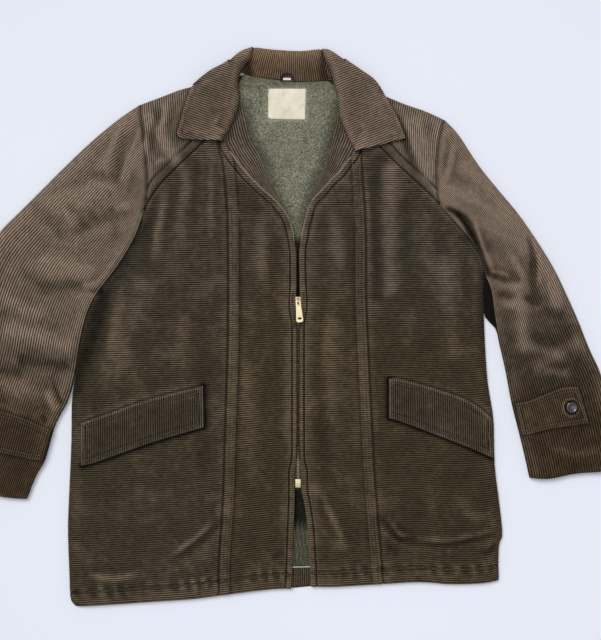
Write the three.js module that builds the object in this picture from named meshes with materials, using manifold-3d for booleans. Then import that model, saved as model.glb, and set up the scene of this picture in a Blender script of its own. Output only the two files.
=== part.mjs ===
// A pile-lined corduroy jacket laid flat on its back, in millimetres.
// X runs to the right, Y toward the collar and Z up. The flat back lies on Z = 0.
// Left and right are as seen from above: left is the side at negative X.
import * as THREE from 'three';
import { mergeVertices } from 'three/addons/utils/BufferGeometryUtils.js';
import Module from 'manifold-3d';

const wasm = await Module();
wasm.setup();

// Layers from the table upward.
const SEAM_GAP = 0.25;          // each panel stops this far short of its seam line
const BACK_GAP = 0.7;           // the back stops this far short of the sleeves
const LAYER_GAP = 0.3;          // between one layer and the next
const BACK_THICK = 2.0;         // corduroy of the back
const LINING_TOP = 7.0;         // top of the pile lining on the back
const FRONT_LOW = 7.6;          // underside of the fronts where they lie on the pile
const FRONT_THICK = 4.4;        // corduroy of a front with its own lining
const EDGE_THICK = 2.4;         // the same, pressed at a side seam
const SIDE_ROUND = 18;          // how far a side rolls down to its seam
const HEM_ROUND = 30;           // how far the hem sinks to its edge
const SLEEVE_UNDER_TOP = 4.4;   // under half of a sleeve with its lining
const SLEEVE_EDGE_LOW = 4.7;
const EDGE_LIFT = 3.8;          // the turned front edges stand up over the zip tape
const TAPE_LOW = 10.0;
const TAPE_THICK = 0.9;
const FACING_LOW = 7.3;
const FACING_THICK = 2.4;
const FLAP_THICK = 3.0;
const COLLAR_THICK = 3.2;
const COLLAR_EDGE_LOW = 3.3;
const COLLAR_SPAN = 12.8;       // underside of the collar where it lies over the shoulders
const ROLL_RISE = 7.5;          // the collar's roll stands this much higher

// Zip, button and label sizes.
const ZIP_X = 17.5;
const SLIDER_Y = 42;
const SLIDER = { wide: 8, long: 12, plate: 1.1, low: 7.7, channel: 3.3 };
const PIVOT_Z = 15.0;
const PULL = { wide: 10.5, neck: 7.6, long: 31, thick: 1.2, bar: 1.4, turn: 5 };
const BOX = { wide: 8.2, long: 12.5, low: 8.4, high: 5.0, top: -216.1 };
const BUTTON = { radius: 8, rim: 3.4, dish: 2.5 };

// Edges of the cut pieces, each row an [x, y] on the laid garment.
const SIDE_L = [[-306, -403], [-314, -391], [-316, -355], [-318, -290], [-316, -232], [-313, -160],
  [-312, -102], [-300, -51], [-293, -7], [-284, 29], [-274, 57]];
const ARM_LOW_L = [[-274, 57], [-255, 80], [-235, 109], [-218, 141], [-207, 174]];
const ARM_TOP_L = [[-207, 174], [-203, 203], [-203, 232], [-206, 261], [-209, 293], [-213, 328]];
const YOKE_SEAM_L = [[-207, 174], [-196, 194], [-178, 218], [-146, 249], [-120, 274], [-100, 294]];
const SHOULDER_L = [[-213, 328], [-183, 339], [-154, 350], [-125, 357], [-102, 362], [-83, 367]];
const YOKE_NECK_L = [[-100, 294], [-91, 319], [-84, 345], [-83, 367]];
const HEM_SIDE_L = [[-306, -403], [-255, -400], [-197, -396], [-139, -392], [-97, -387]];
const HEM_CENTRE_L = [[-97, -387], [-52, -381], [-16, -377], [7, -377]];
const PRINCESS_L = [[-97, -387], [-97, -334], [-91, -246], [-88, -145], [-84, -14], [-84, 138],
  [-86, 188], [-91, 239], [-99, 271], [-100, 294]];
const FRONT_EDGE_L = [[7, -377], [8, -365], [9, -340], [10, -304], [12, -261], [12.6, -232],
  [12.6, -205], [14.8, -175], [15, -130], [15, -80], [15, -30], [15, 8], [13.2, 28], [12.6, 45],
  [13.2, 64], [13, 112], [9, 142], [3, 162], [-9, 180],
  [-23, 194], [-38, 207], [-53, 222], [-67, 238], [-86, 265], [-88, 289]];
const FRONT_TOP_L = [[-100, 294], [-88, 289]];
const FACING_IN_L = [[10.5, 142], [-4, 177], [-23, 210], [-30, 232], [-38, 254], [-51, 276],
  [-58, 302], [-64, 328]];

const SIDE_R = [[310, -365], [310, -316], [315, -296], [310, -246], [304, -196], [302, -130],
  [294, -77], [290, -22], [288, 29], [287, 58], [291, 78]];
const ARM_LOW_R = [[291, 78], [286, 106], [270, 130], [246, 158], [223, 184]];
const ARM_TOP_R = [[223, 184], [219, 215], [220, 246], [223, 278], [231, 306]];
const YOKE_SEAM_R = [[223, 184], [194, 212], [165, 238], [138, 265], [112, 287]];
const SHOULDER_R = [[231, 306], [202, 319], [173, 329], [142, 342], [115, 354], [86, 367]];
const YOKE_NECK_R = [[112, 287], [99, 313], [90, 341], [86, 367]];
const HEM_SIDE_R = [[310, -365], [281, -369], [238, -370], [194, -367], [141, -370]];
const HEM_CENTRE_R = [[141, -370], [107, -372], [71, -374], [36, -374]];
const PRINCESS_R = [[141, -370], [138, -326], [130, -232], [125, -145], [119, -22], [116, 58],
  [116, 138], [113, 196], [109, 264], [112, 287]];
const FRONT_EDGE_R = [[36, -374], [36, -362], [35, -338], [32, -292], [27, -254], [22.6, -232],
  [22.4, -205], [20.2, -175], [20, -130], [20, -80], [20, -30], [20, 8], [21.8, 28], [22.4, 45],
  [21.8, 64], [20.5, 112], [25, 145], [33, 177], [40, 190],
  [49, 199], [68, 220], [78, 229], [88, 243], [98, 256], [103, 278]];
const FRONT_TOP_R = [[112, 287], [103, 278]];
const FACING_IN_R = [[22.5, 144], [28, 171], [36, 193], [52, 230], [62, 256], [67, 278], [73, 302], [75, 324]];

// Sleeve edges from the shoulder and the underarm to the cuff.
const OUTER_L = [[-213, 328], [-241, 309], [-270, 286], [-299, 260], [-328, 232], [-357, 203],
  [-386, 174], [-415, 145], [-435, 116], [-450, 80], [-460, 36], [-470, -22], [-481, -94],
  [-493, -160], [-505, -220]];
const INNER_L = [[-274, 57], [-288, 29], [-298, -7], [-308, -65], [-318, -102], [-332, -128],
  [-340, -148], [-352, -190], [-365, -213], [-378, -246]];
const CUFF_L = [[-505, -220], [-458, -232], [-415, -242], [-378, -246]];
const OUTER_R = [[231, 306], [252, 283], [281, 239], [310, 203], [339, 168], [368, 126], [392, 86],
  [412, 44], [426, 12], [441, -26], [457, -61], [470, -102], [481, -152], [490, -203]];
const INNER_R = [[291, 78], [299, 57], [304, 22], [310, -14], [320, -58], [329, -106], [341, -154],
  [348, -183], [355, -215]];
const CUFF_R = [[490, -203], [457, -206], [419, -209], [383, -216], [355, -215]];

// Collar edges. The roll is the fold beside the neck; the outline wraps behind the neck.
const FALL_BOTTOM_L = [[-158, 284], [-152, 278], [-136, 276], [-93, 273]];
const FALL_OUTER_L = [[-158, 284], [-151, 310], [-144, 334], [-135, 357]];
const COLLAR_OUT_L = [[-135, 357], [-110, 376], [-88, 388], [-67, 405], [-48, 412]];
const ROLL_L = [[-93, 273], [-80, 294], [-70, 319], [-67, 339], [-69, 357], [-65, 377], [-52, 393],
  [-48, 412]];
const FALL_BOTTOM_R = [[173, 278], [148, 271], [122, 264], [100, 258]];
const FALL_OUTER_R = [[173, 278], [164, 302], [152, 325], [142, 344]];
const COLLAR_OUT_R = [[142, 344], [129, 362], [107, 378], [81, 396], [64, 407], [52, 409]];
const ROLL_R = [[100, 258], [86, 287], [77, 310], [74, 336], [69, 360], [64, 377], [57, 392], [52, 409]];
const BAND_TOP = [[-45, 411.5], [-16, 408], [20, 406], [49, 409]];
const BAND_NECK = [[-62, 372.6], [-45, 369.4], [-16, 365.3], [20, 361.4], [61, 363.4]];
const BAND_END_L = [[-62, 372.6], [-60, 380], [-49, 394], [-45, 411.5]];
const BAND_END_R = [[61, 363.4], [61, 377], [54, 392], [49, 409]];

const FLAPS = {
  left: { top: [[-297, -135], [-255, -120], [-197, -100], [-120, -81]],
    bottom: [[-297, -197], [-270, -190], [-197, -164], [-119, -141]] },
  right: { top: [[149, -71], [165, -71], [223, -87], [267, -104], [299, -128]],
    bottom: [[149, -128], [165, -132], [223, -154], [267, -171], [301, -186]] },
};
const TABS = {
  left: { top: [[-466, -98], [-415, -117], [-386, -126], [-357, -138], [-340, -145]],
    bottom: [[-479, -158], [-415, -177], [-384, -184], [-371, -187], [-353, -189]] },
  right: { top: [[332, -107], [354, -102], [383, -90], [405, -83], [423, -83]],
    bottom: [[343, -153], [376, -145], [397, -141], [420, -138], [439, -135]] },
};
const BUTTON_AT = { left: [-455, -130], right: [413, -112] };

// Outlines of the flat layers.
const LINING_EDGE = [[-290, -368], [-197, -362], [-97, -352], [7, -344], [36, -343], [141, -338],
  [290, -333], [292, -296], [288, -246], [283, -196], [281, -130], [273, -77], [269, -22], [267, 29],
  [268, 70], [262, 100], [250, 124], [226, 152], [207, 184], [203, 215], [204, 250], [206, 275],
  [200, 297], [173, 307], [142, 320], [115, 333], [90, 344], [72, 354], [61, 362.5], [20, 360.5],
  [-16, 364.5], [-45, 368.5], [-62, 371.5], [-72, 356], [-90, 343], [-125, 336], [-154, 328], [-180, 316],
  [-189, 293], [-188, 232], [-191, 174], [-205, 136], [-224, 105], [-243, 75], [-255, 48],
  [-263, 25], [-272, -11], [-279, -55], [-290, -104], [-292, -160], [-295, -232], [-297, -290], [-295, -350]];
const HEM_FACING_TOP = [[-288, -371], [-197, -365], [-97, -355], [7, -347], [36, -346], [141, -341], [288, -336]];
const HEM_FACING_LOW = [[288, -366], [238, -368], [141, -368], [36, -372], [7, -375], [-97, -384],
  [-197, -393], [-288, -399]];
const COLLAR_UNDER_NECK = [[138, 346.5], [116, 355.5], [87, 369], [64, 368], [20, 364.5], [-16, 368.5],
  [-45, 372.5], [-64, 376], [-83, 369.5], [-102, 364.5], [-124, 360.5]];
const LABEL_EDGE = [[-26, 351], [29, 351], [28, 306], [-20, 307], [-26, 313]];

// Largest soft folds: from, to, height (a trough is below zero) and half width.
const FOLDS = [
  { from: [-229, 305], to: [-262, 240], lift: 4.0, wide: 11 },
  { from: [-205, 268], to: [-232, 225], lift: 3.0, wide: 9 },
  { from: [-325, 190], to: [-262, 203], lift: 3.5, wide: 12 },
  { from: [-300, 150], to: [-240, 172], lift: -2.2, wide: 10 },
  { from: [-345, 98], to: [-292, 84], lift: 4.0, wide: 13 },
  { from: [-345, 62], to: [-280, 66], lift: -2.4, wide: 9 },
  { from: [-395, 0], to: [-320, -20], lift: 3.5, wide: 16 },
  { from: [-380, -45], to: [-320, -52], lift: -2.2, wide: 11 },
  { from: [-440, -70], to: [-345, -96], lift: 2.5, wide: 14 },
  { from: [-440, 40], to: [-450, -60], lift: 3.0, wide: 15 },
  { from: [232, 200], to: [262, 186], lift: 3.5, wide: 19 },
  { from: [262, 186], to: [318, 152], lift: 6.0, wide: 20 },
  { from: [318, 152], to: [346, 122], lift: 3.5, wide: 18 },
  { from: [262, 160], to: [292, 120], lift: -2.4, wide: 9 },
  { from: [304, 82], to: [332, 74], lift: -2.4, wide: 9 },
  { from: [354, 126], to: [361, 48], lift: -2.4, wide: 8 },
  { from: [378, 110], to: [392, 40], lift: 4.0, wide: 11 },
  { from: [335, 60], to: [345, -20], lift: 4.0, wide: 13 },
  { from: [420, -20], to: [370, -50], lift: 3.0, wide: 14 },
  { from: [300, 200], to: [262, 235], lift: 3.0, wide: 12 },
  { from: [-196, 303], to: [-160, 246], lift: 3.0, wide: 10 },
  { from: [188, 300], to: [208, 232], lift: 3.0, wide: 10 },
  { from: [132, 245], to: [134, 50], lift: -2.2, wide: 9 },
  { from: [152, 230], to: [152, 60], lift: 3.5, wide: 14 },
  { from: [-97, -280], to: [-140, -320], lift: -2.0, wide: 9 },
  { from: [141, -275], to: [182, -304], lift: -2.0, wide: 9 },
  { from: [45, -232], to: [78, -310], lift: 2.5, wide: 14 },
  { from: [-210, 60], to: [-250, -60], lift: 3.0, wide: 22 },
  { from: [230, 90], to: [245, -30], lift: 3.0, wide: 20 },
];

// Shares of an edge's length at which a net has its lines, closer together where cloth rolls down.
const ACROSS_SIDE = [0, 0.02, 0.05, 0.09, 0.18, 0.31, 0.45, 0.6, 0.8, 1];
const ACROSS_CENTRE = [0, 0.28, 0.56, 0.76, 0.9, 1];
const UP_SIDE = [0, 0.02, 0.045, 0.075, 0.13, 0.2, 0.27, 0.34, 0.41, 0.48, 0.55, 0.62, 0.69, 0.77, 0.85, 0.93, 1];
const UP_ARM_LOW = [0, 0.06, 0.16, 0.29, 0.43, 0.57, 0.71, 0.86, 1];
const UP_ARM_TOP = [0, 0.03, 0.09, 0.19, 0.33, 0.48, 0.63, 0.77, 0.88, 0.96, 1];
const DOWN_SLEEVE = [0, 0.05, 0.11, 0.18, 0.26, 0.35, 0.44, 0.53, 0.62, 0.71, 0.8, 0.9, 0.97, 1];
const DOWN_SLEEVE_UNDER = [0, 0.05, 0.14, 0.28, 0.45, 0.62, 0.8, 1];
const ACROSS_FALL = [0, 0.08, 0.22, 0.4, 0.58, 0.74, 0.86, 0.94, 1];
const UP_FALL = [0, 0.06, 0.16, 0.3, 0.44, 0.58, 0.71, 0.83, 0.92, 0.97, 1];
const EVEN_4 = [0, 0.25, 0.5, 0.75, 1];
const EVEN_8 = [0, 0.125, 0.25, 0.375, 0.5, 0.625, 0.75, 0.875, 1];
const UP_BAND = [0, 0.25, 0.5, 0.7, 0.84, 0.94, 1];
const UP_FLAP = [0, 0.12, 0.37, 0.62, 0.88, 1];
const ACROSS_FLAP = [0, 0.1, 0.2, 0.32, 0.45, 0.58, 0.7, 0.8, 0.87, 0.92, 0.96, 1];

const COLOURS = {
  corduroy: { colour: '#3d352b', roughness: 0.93 },
  sleeve: { colour: '#564a3f', roughness: 0.93 },
  collar: { colour: '#5d5145', roughness: 0.93 },
  pile: { colour: '#6b6b5a', roughness: 1.0 },
  piping: { colour: '#a9a48c', roughness: 0.8 },
  tape: { colour: '#3a3128', roughness: 0.9 },
  label: { colour: '#ded5bd', roughness: 0.85 },
  brass: { colour: '#c9ba8e', roughness: 0.32, metalness: 1 },
  button: { colour: '#4b434a', roughness: 0.3 },
};

const jacket = new THREE.Group();

function material(kind) {
  const look = COLOURS[kind];
  const made = new THREE.MeshStandardMaterial();
  made.color = new THREE.Color(look.colour);
  made.roughness = look.roughness;
  made.metalness = look.metalness ?? 0;
  return made;
}

function addPiece(name, kind, geometry) {
  const mesh = new THREE.Mesh(geometry, material(kind));
  mesh.name = name;
  jacket.add(mesh);
  return mesh;
}

const soft = (t) => THREE.MathUtils.smoothstep(t, 0, 1);

// 0 at an edge, 1 once the cloth is `radius` away from it, along a quarter circle.
function rounded(distance, radius) {
  const left = 1 - Math.min(distance, radius) / radius;
  return Math.sqrt(1 - left * left);
}

const backward = (points) => [...points].reverse();
const mirrored = (shares) => backward(shares).map((share) => 1 - share);
const joined = (first, second) => [...first, ...second.slice(1)];

// Points on a smooth curve through the rows, at the given shares of its length.
function along(rows, shares) {
  const curve = new THREE.SplineCurve(rows.map(([x, y]) => new THREE.Vector2(x, y)));
  return shares.map((share) => curve.getPointAt(share));
}

// Each point's share of the length of its row of points.
function sharesOf(points) {
  const sums = [0];
  for (let i = 1; i < points.length; i += 1) {
    sums.push(sums[i - 1] + points[i].distanceTo(points[i - 1]));
  }
  return sums.map((sum) => sum / sums[sums.length - 1]);
}

function toSegment(x, y, a, b) {
  const dx = b[0] - a[0];
  const dy = b[1] - a[1];
  const t = THREE.MathUtils.clamp(((x - a[0]) * dx + (y - a[1]) * dy) / (dx * dx + dy * dy), 0, 1);
  return Math.hypot(x - a[0] - t * dx, y - a[1] - t * dy);
}

function nearest(rows, x, y) {
  let best = Infinity;
  for (let i = 1; i < rows.length; i += 1) {
    best = Math.min(best, toSegment(x, y, rows[i - 1], rows[i]));
  }
  return best;
}

const asRows = (points) => points.map((point) => [point.x, point.y]);

// A net of points between four edges: blends opposite edges by their shares.
function netOf(south, north, west, east) {
  const us = sharesOf(south).map((share, i) => (share + sharesOf(north)[i]) / 2);
  const vs = sharesOf(west).map((share, j) => (share + sharesOf(east)[j]) / 2);
  const last = south.length - 1;
  return vs.map((v, j) => us.map((u, i) => {
    const point = new THREE.Vector2();
    point.addScaledVector(south[i], 1 - v);
    point.addScaledVector(north[i], v);
    point.addScaledVector(west[j], 1 - u);
    point.addScaledVector(east[j], u);
    point.addScaledVector(south[0], -(1 - u) * (1 - v));
    point.addScaledVector(south[last], -u * (1 - v));
    point.addScaledVector(north[0], -(1 - u) * v);
    point.addScaledVector(north[last], -u * v);
    return point;
  }));
}

// Pulls the border of a net inward, so that neighbouring panels keep a seam gap.
function drawnIn(net, gap) {
  const rows = net.length - 1;
  const columns = net[0].length - 1;
  return net.map((row, j) => row.map((point, i) => {
    const nextI = THREE.MathUtils.clamp(i, 1, columns - 1);
    const nextJ = THREE.MathUtils.clamp(j, 1, rows - 1);
    if (nextI === i && nextJ === j) {
      return point.clone();
    }
    const moved = point.clone();
    if (nextI !== i) {
      const inward = net[j][nextI].clone().sub(point).setLength(gap);
      moved.add(inward);
    }
    if (nextJ !== j) {
      const inward = net[nextJ][i].clone().sub(point).setLength(gap);
      moved.add(inward);
    }
    return moved;
  }));
}

// A closed cloth wall over a net, with an underside and a top height for each of its points.
function wallGeometry({ net, lows, highs }) {
  const rows = net.length;
  const columns = net[0].length;
  const count = rows * columns;
  const positions = new Float32Array(count * 2 * 3);
  net.forEach((row, j) => row.forEach((point, i) => {
    const at = j * columns + i;
    positions.set([point.x, point.y, highs[j][i]], at * 3);
    positions.set([point.x, point.y, lows[j][i]], (count + at) * 3);
  }));
  let turn = 0;
  for (let j = 1; j < rows; j += 1) {
    for (let i = 1; i < columns; i += 1) {
      const a = net[j][i].clone().sub(net[j - 1][i - 1]);
      const b = net[j][i - 1].clone().sub(net[j - 1][i]);
      turn += a.cross(b);
    }
  }
  const faces = [];
  const quad = (a, b, c, d) => {
    if (turn > 0) {
      faces.push(a, b, c, a, c, d);
    } else {
      faces.push(a, c, b, a, d, c);
    }
  };
  for (let j = 1; j < rows; j += 1) {
    for (let i = 1; i < columns; i += 1) {
      const a = (j - 1) * columns + i - 1;
      const b = a + 1;
      const c = j * columns + i;
      const d = c - 1;
      quad(a, b, c, d);
      quad(count + a, count + d, count + c, count + b);
    }
  }
  const rim = [];
  for (let i = 0; i < columns; i += 1) rim.push(i);
  for (let j = 1; j < rows; j += 1) rim.push(j * columns + columns - 1);
  for (let i = columns - 2; i >= 0; i -= 1) rim.push((rows - 1) * columns + i);
  for (let j = rows - 2; j >= 1; j -= 1) rim.push(j * columns);
  rim.forEach((a, k) => {
    const b = rim[(k + 1) % rim.length];
    quad(b, a, count + a, count + b);
  });
  const geometry = new THREE.BufferGeometry();
  geometry.setAttribute('position', new THREE.BufferAttribute(positions, 3));
  geometry.setIndex(faces);
  return geometry;
}

// Top height of a laid panel's facet under a point, or -1 beside it.
function topAt({ net, highs }, x, y) {
  for (let j = 1; j < net.length; j += 1) {
    for (let i = 1; i < net[0].length; i += 1) {
      const corners = [[i - 1, j - 1], [i, j - 1], [i, j], [i - 1, j]];
      for (const picked of [[0, 1, 2], [0, 2, 3]]) {
        const [a, b, c] = picked.map((k) => net[corners[k][1]][corners[k][0]]);
        const [high, highB, highC] = picked.map((k) => highs[corners[k][1]][corners[k][0]]);
        const area = (b.x - a.x) * (c.y - a.y) - (c.x - a.x) * (b.y - a.y);
        const s = ((x - a.x) * (c.y - a.y) - (c.x - a.x) * (y - a.y)) / area;
        const t = ((b.x - a.x) * (y - a.y) - (x - a.x) * (b.y - a.y)) / area;
        if (s >= -1e-9 && t >= -1e-9 && s + t <= 1 + 1e-9) {
          return high + s * (highB - high) + t * (highC - high);
        }
      }
    }
  }
  return -1;
}

// Highest of the panels' tops within reach of a point, so that what lies there clears their creases.
function topOver(panels, x, y, reach = 4) {
  let top = -1;
  for (let k = 0; k <= 8; k += 1) {
    const away = k === 0 ? 0 : reach;
    const px = x + away * Math.cos((k * Math.PI) / 4);
    const py = y + away * Math.sin((k * Math.PI) / 4);
    top = Math.max(top, ...panels.map((panel) => topAt(panel, px, py)));
  }
  return top;
}

function addWall(name, kind, net, under, thick, gap = SEAM_GAP) {
  const panel = { net: drawnIn(net, gap) };
  panel.lows = panel.net.map((row) => row.map((point) => under(point.x, point.y)));
  panel.highs = panel.net.map((row, j) => row.map((point, i) => panel.lows[j][i] + thick(point.x, point.y)));
  addPiece(name, kind, wallGeometry(panel));
  return panel;
}

function addPlate(name, kind, rows, low, thick) {
  const shape = new THREE.Shape(rows.map(([x, y]) => new THREE.Vector2(x, y)));
  const geometry = new THREE.ExtrudeGeometry(shape, { depth: thick, bevelEnabled: false });
  geometry.translate(0, 0, low);
  return addPiece(name, kind, geometry);
}

// The garment's outline, where its layers roll down to the seam or fold.
const OUTLINES = [SIDE_L, OUTER_L, INNER_L, SHOULDER_L, SIDE_R, OUTER_R, INNER_R, SHOULDER_R];
const HEM_LEFT = joined(HEM_SIDE_L, HEM_CENTRE_L);
const HEM_RIGHT = backward(joined(HEM_SIDE_R, HEM_CENTRE_R));
const HEM = [...HEM_LEFT, ...HEM_RIGHT];
const toOutline = (x, y) => Math.min(...OUTLINES.map((rows) => nearest(rows, x, y)));

function foldAt(x, y) {
  let lift = 0;
  for (const fold of FOLDS) {
    const distance = toSegment(x, y, fold.from, fold.to) / fold.wide;
    lift += fold.lift * Math.exp(-distance * distance);
  }
  return lift * rounded(toOutline(x, y), SIDE_ROUND) * rounded(nearest(HEM, x, y), HEM_ROUND);
}

function edgeLift(x, y) {
  const distance = Math.min(nearest(FRONT_EDGE_L, x, y), nearest(FRONT_EDGE_R, x, y));
  return EDGE_LIFT * soft((34 - distance) / 23) * soft((y + 330) / 70);
}

function frontUnder(x, y) {
  const side = rounded(toOutline(x, y), SIDE_ROUND);
  const hem = rounded(nearest(HEM, x, y), HEM_ROUND);
  const low = BACK_THICK + LAYER_GAP;
  const rest = low + side * (2.1 + (FRONT_LOW - low - 2.1) * hem);
  return rest + edgeLift(x, y) + Math.max(0, foldAt(x, y));
}

function frontThick(x, y) {
  const side = rounded(toOutline(x, y), SIDE_ROUND);
  const pressed = 1.4 * (edgeLift(x, y) / EDGE_LIFT);
  return EDGE_THICK + (FRONT_THICK - EDGE_THICK - pressed) * side + Math.min(0, foldAt(x, y));
}

function sleeveUnder(x, y) {
  const side = rounded(toOutline(x, y), SIDE_ROUND);
  return SLEEVE_EDGE_LOW + (FRONT_LOW - SLEEVE_EDGE_LOW) * side + Math.max(0, foldAt(x, y));
}

function sleeveThick(x, y) {
  const side = rounded(toOutline(x, y), SIDE_ROUND);
  return 1.8 + (FRONT_THICK - 1.8) * side + Math.min(0, foldAt(x, y));
}

// Front panels and yokes of one side; the seams are shared point for point.
function addFront(side, edges) {
  const west = joined(along(edges.side, UP_SIDE), along(edges.armLow, UP_ARM_LOW));
  const princess = along(edges.princess, sharesOf(west));
  const yokeSeam = along(edges.yokeSeam, ACROSS_SIDE);
  const hem = along(edges.hemSide, ACROSS_SIDE);
  const panels = [];
  const sideNet = netOf(hem, yokeSeam, west, princess);
  panels.push(addWall(`front_side_${side}`, 'corduroy', sideNet, frontUnder, frontThick));

  const centreHem = along(edges.hemCentre, ACROSS_CENTRE);
  const centreTop = along(edges.top, ACROSS_CENTRE);
  const frontEdge = edges.front.map(([x, y]) => new THREE.Vector2(x, y));
  const centreNet = netOf(centreHem, centreTop, princess, frontEdge);
  panels.push(addWall(`front_centre_${side}`, 'corduroy', centreNet, frontUnder, frontThick));

  const armTop = along(edges.armTop, UP_ARM_TOP);
  const neck = along(edges.neck, UP_ARM_TOP);
  const shoulder = along(edges.shoulder, ACROSS_SIDE);
  const yokeNet = netOf(yokeSeam, shoulder, armTop, neck);
  panels.push(addWall(`yoke_${side}`, 'collar', yokeNet, frontUnder, frontThick));
  return panels;
}

const frontLeft = addFront('left', {
  side: SIDE_L, armLow: ARM_LOW_L, armTop: ARM_TOP_L, princess: PRINCESS_L, yokeSeam: YOKE_SEAM_L,
  hemSide: HEM_SIDE_L, hemCentre: HEM_CENTRE_L, front: FRONT_EDGE_L, top: FRONT_TOP_L,
  neck: YOKE_NECK_L, shoulder: SHOULDER_L,
});
const frontRight = addFront('right', {
  side: SIDE_R, armLow: ARM_LOW_R, armTop: ARM_TOP_R, princess: PRINCESS_R, yokeSeam: YOKE_SEAM_R,
  hemSide: HEM_SIDE_R, hemCentre: HEM_CENTRE_R, front: FRONT_EDGE_R, top: FRONT_TOP_R,
  neck: YOKE_NECK_R, shoulder: SHOULDER_R,
});

// The back is one flat piece under everything, with the pile lining and the hem facing on it.
function inset(points, gap) {
  return points.map((point, i) => {
    const before = points[Math.max(i - 1, 0)];
    const after = points[Math.min(i + 1, points.length - 1)];
    const tangent = after.clone().sub(before).normalize();
    return new THREE.Vector2(point.x - tangent.y * gap, point.y + tangent.x * gap);
  });
}

const backOutline = [
  ...HEM,
  ...asRows(along(SIDE_R, UP_SIDE)).slice(1, -1),
  ...asRows(inset(joined(along(ARM_LOW_R, UP_ARM_LOW), along(ARM_TOP_R, UP_ARM_TOP)), BACK_GAP)),
  ...SHOULDER_R.slice(1), [64, 366], [20, 362.5], [-16, 366.5], [-45, 370.5], [-64, 374],
  ...backward(SHOULDER_L).slice(0, -1),
  ...asRows(inset(backward(joined(along(ARM_LOW_L, UP_ARM_LOW), along(ARM_TOP_L, UP_ARM_TOP))), BACK_GAP)),
  ...backward(asRows(along(SIDE_L, UP_SIDE))).slice(1, -1),
];
addPlate('back', 'corduroy', backOutline, 0, BACK_THICK);
const liningLow = BACK_THICK + LAYER_GAP;
addPlate('back_lining', 'pile', LINING_EDGE, liningLow, LINING_TOP - liningLow);
addPlate('back_hem_facing', 'corduroy', [...HEM_FACING_TOP, ...HEM_FACING_LOW], liningLow, 1.7);
const pipingEdge = [[5, -346.4], [38, -345.4], [38, -343.6], [5, -344.5]];
addPlate('lining_piping', 'piping', pipingEdge.map(([x, y]) => [x, y - 0.2]), 4.4, 2.2);

// Sleeves: an upper and an under wall that meet along the folds.
function addSleeve(side, edges) {
  const cap = backward(along(edges.armTop, UP_ARM_TOP));
  const cuff = along(edges.cuff, mirrored(UP_ARM_TOP));
  const armLow = backward(along(edges.armLow, UP_ARM_LOW));
  const netDown = (shares) => {
    const inner = joined(armLow, along(edges.inner, shares));
    return netOf(cap, cuff, along(edges.outer, sharesOf(inner)), inner);
  };
  const upper = addWall(`sleeve_upper_${side}`, 'sleeve', netDown(DOWN_SLEEVE), sleeveUnder, sleeveThick);
  const bottom = (x, y) => 2.0 * (1 - rounded(toOutline(x, y), 9));
  const depth = (x, y) => SLEEVE_UNDER_TOP - bottom(x, y);
  addWall(`sleeve_under_${side}`, 'sleeve', netDown(DOWN_SLEEVE_UNDER), bottom, depth);
  return upper;
}

const sleeveLeft = addSleeve('left', {
  armLow: ARM_LOW_L, armTop: ARM_TOP_L, outer: OUTER_L, inner: INNER_L, cuff: CUFF_L,
});
const sleeveRight = addSleeve('right', {
  armLow: ARM_LOW_R, armTop: ARM_TOP_R, outer: OUTER_R, inner: INNER_R, cuff: CUFF_R,
});

// Pieces that lie on a panel take its heights, moved out.
function addOverlay(name, kind, rows, panels, acrossShares, upShares, thick) {
  const south = along(rows.bottom, acrossShares);
  const north = along(rows.top, acrossShares);
  const west = along([rows.bottom[0], rows.top[0]], upShares);
  const east = along([rows.bottom[rows.bottom.length - 1], rows.top[rows.top.length - 1]], upShares);
  const net = netOf(south, north, west, east);
  const under = (x, y) => topOver(panels, x, y) + 2 * LAYER_GAP;
  return addWall(name, kind, net, under, () => thick, 0);
}

addOverlay('pocket_flap_left', 'corduroy', FLAPS.left, frontLeft, mirrored(ACROSS_FLAP), UP_FLAP, FLAP_THICK);
addOverlay('pocket_flap_right', 'corduroy', FLAPS.right, frontRight, ACROSS_FLAP, UP_FLAP, FLAP_THICK);
const tabLeft = addOverlay('cuff_tab_left', 'sleeve', TABS.left, [sleeveLeft], EVEN_8, EVEN_4, FLAP_THICK);
const tabRight = addOverlay('cuff_tab_right', 'sleeve', TABS.right, [sleeveRight], EVEN_8, EVEN_4, FLAP_THICK);

function addButton(name, [x, y], tab) {
  const { radius, rim, dish } = BUTTON;
  const profile = [[0, 0], [radius - 1, 0], [radius, 1], [radius, rim - 0.8], [radius - 0.7, rim],
    [radius - 2, rim], [radius - 2.8, dish], [0, dish]];
  const points = profile.map(([r, z]) => new THREE.Vector2(r, z));
  const geometry = new THREE.LatheGeometry(points, 24);
  geometry.rotateX(Math.PI / 2);
  let seat = 0;
  for (let k = 0; k < 12; k += 1) {
    const angle = (k / 12) * 2 * Math.PI;
    seat = Math.max(seat, topAt(tab, x + radius * Math.cos(angle), y + radius * Math.sin(angle)));
  }
  seat = Math.max(seat, topAt(tab, x, y));
  geometry.translate(x, y, seat + LAYER_GAP);
  addPiece(name, 'button', geometry);
}

addButton('cuff_button_left', BUTTON_AT.left, tabLeft);
addButton('cuff_button_right', BUTTON_AT.right, tabRight);

// Zip tapes lie under the front edges and meet below the slider; the facings lie under them.
function beside(front, distance, hand) {
  const points = front.map(([x, y]) => new THREE.Vector2(x, y));
  return inset(points, -distance * hand);
}

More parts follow.
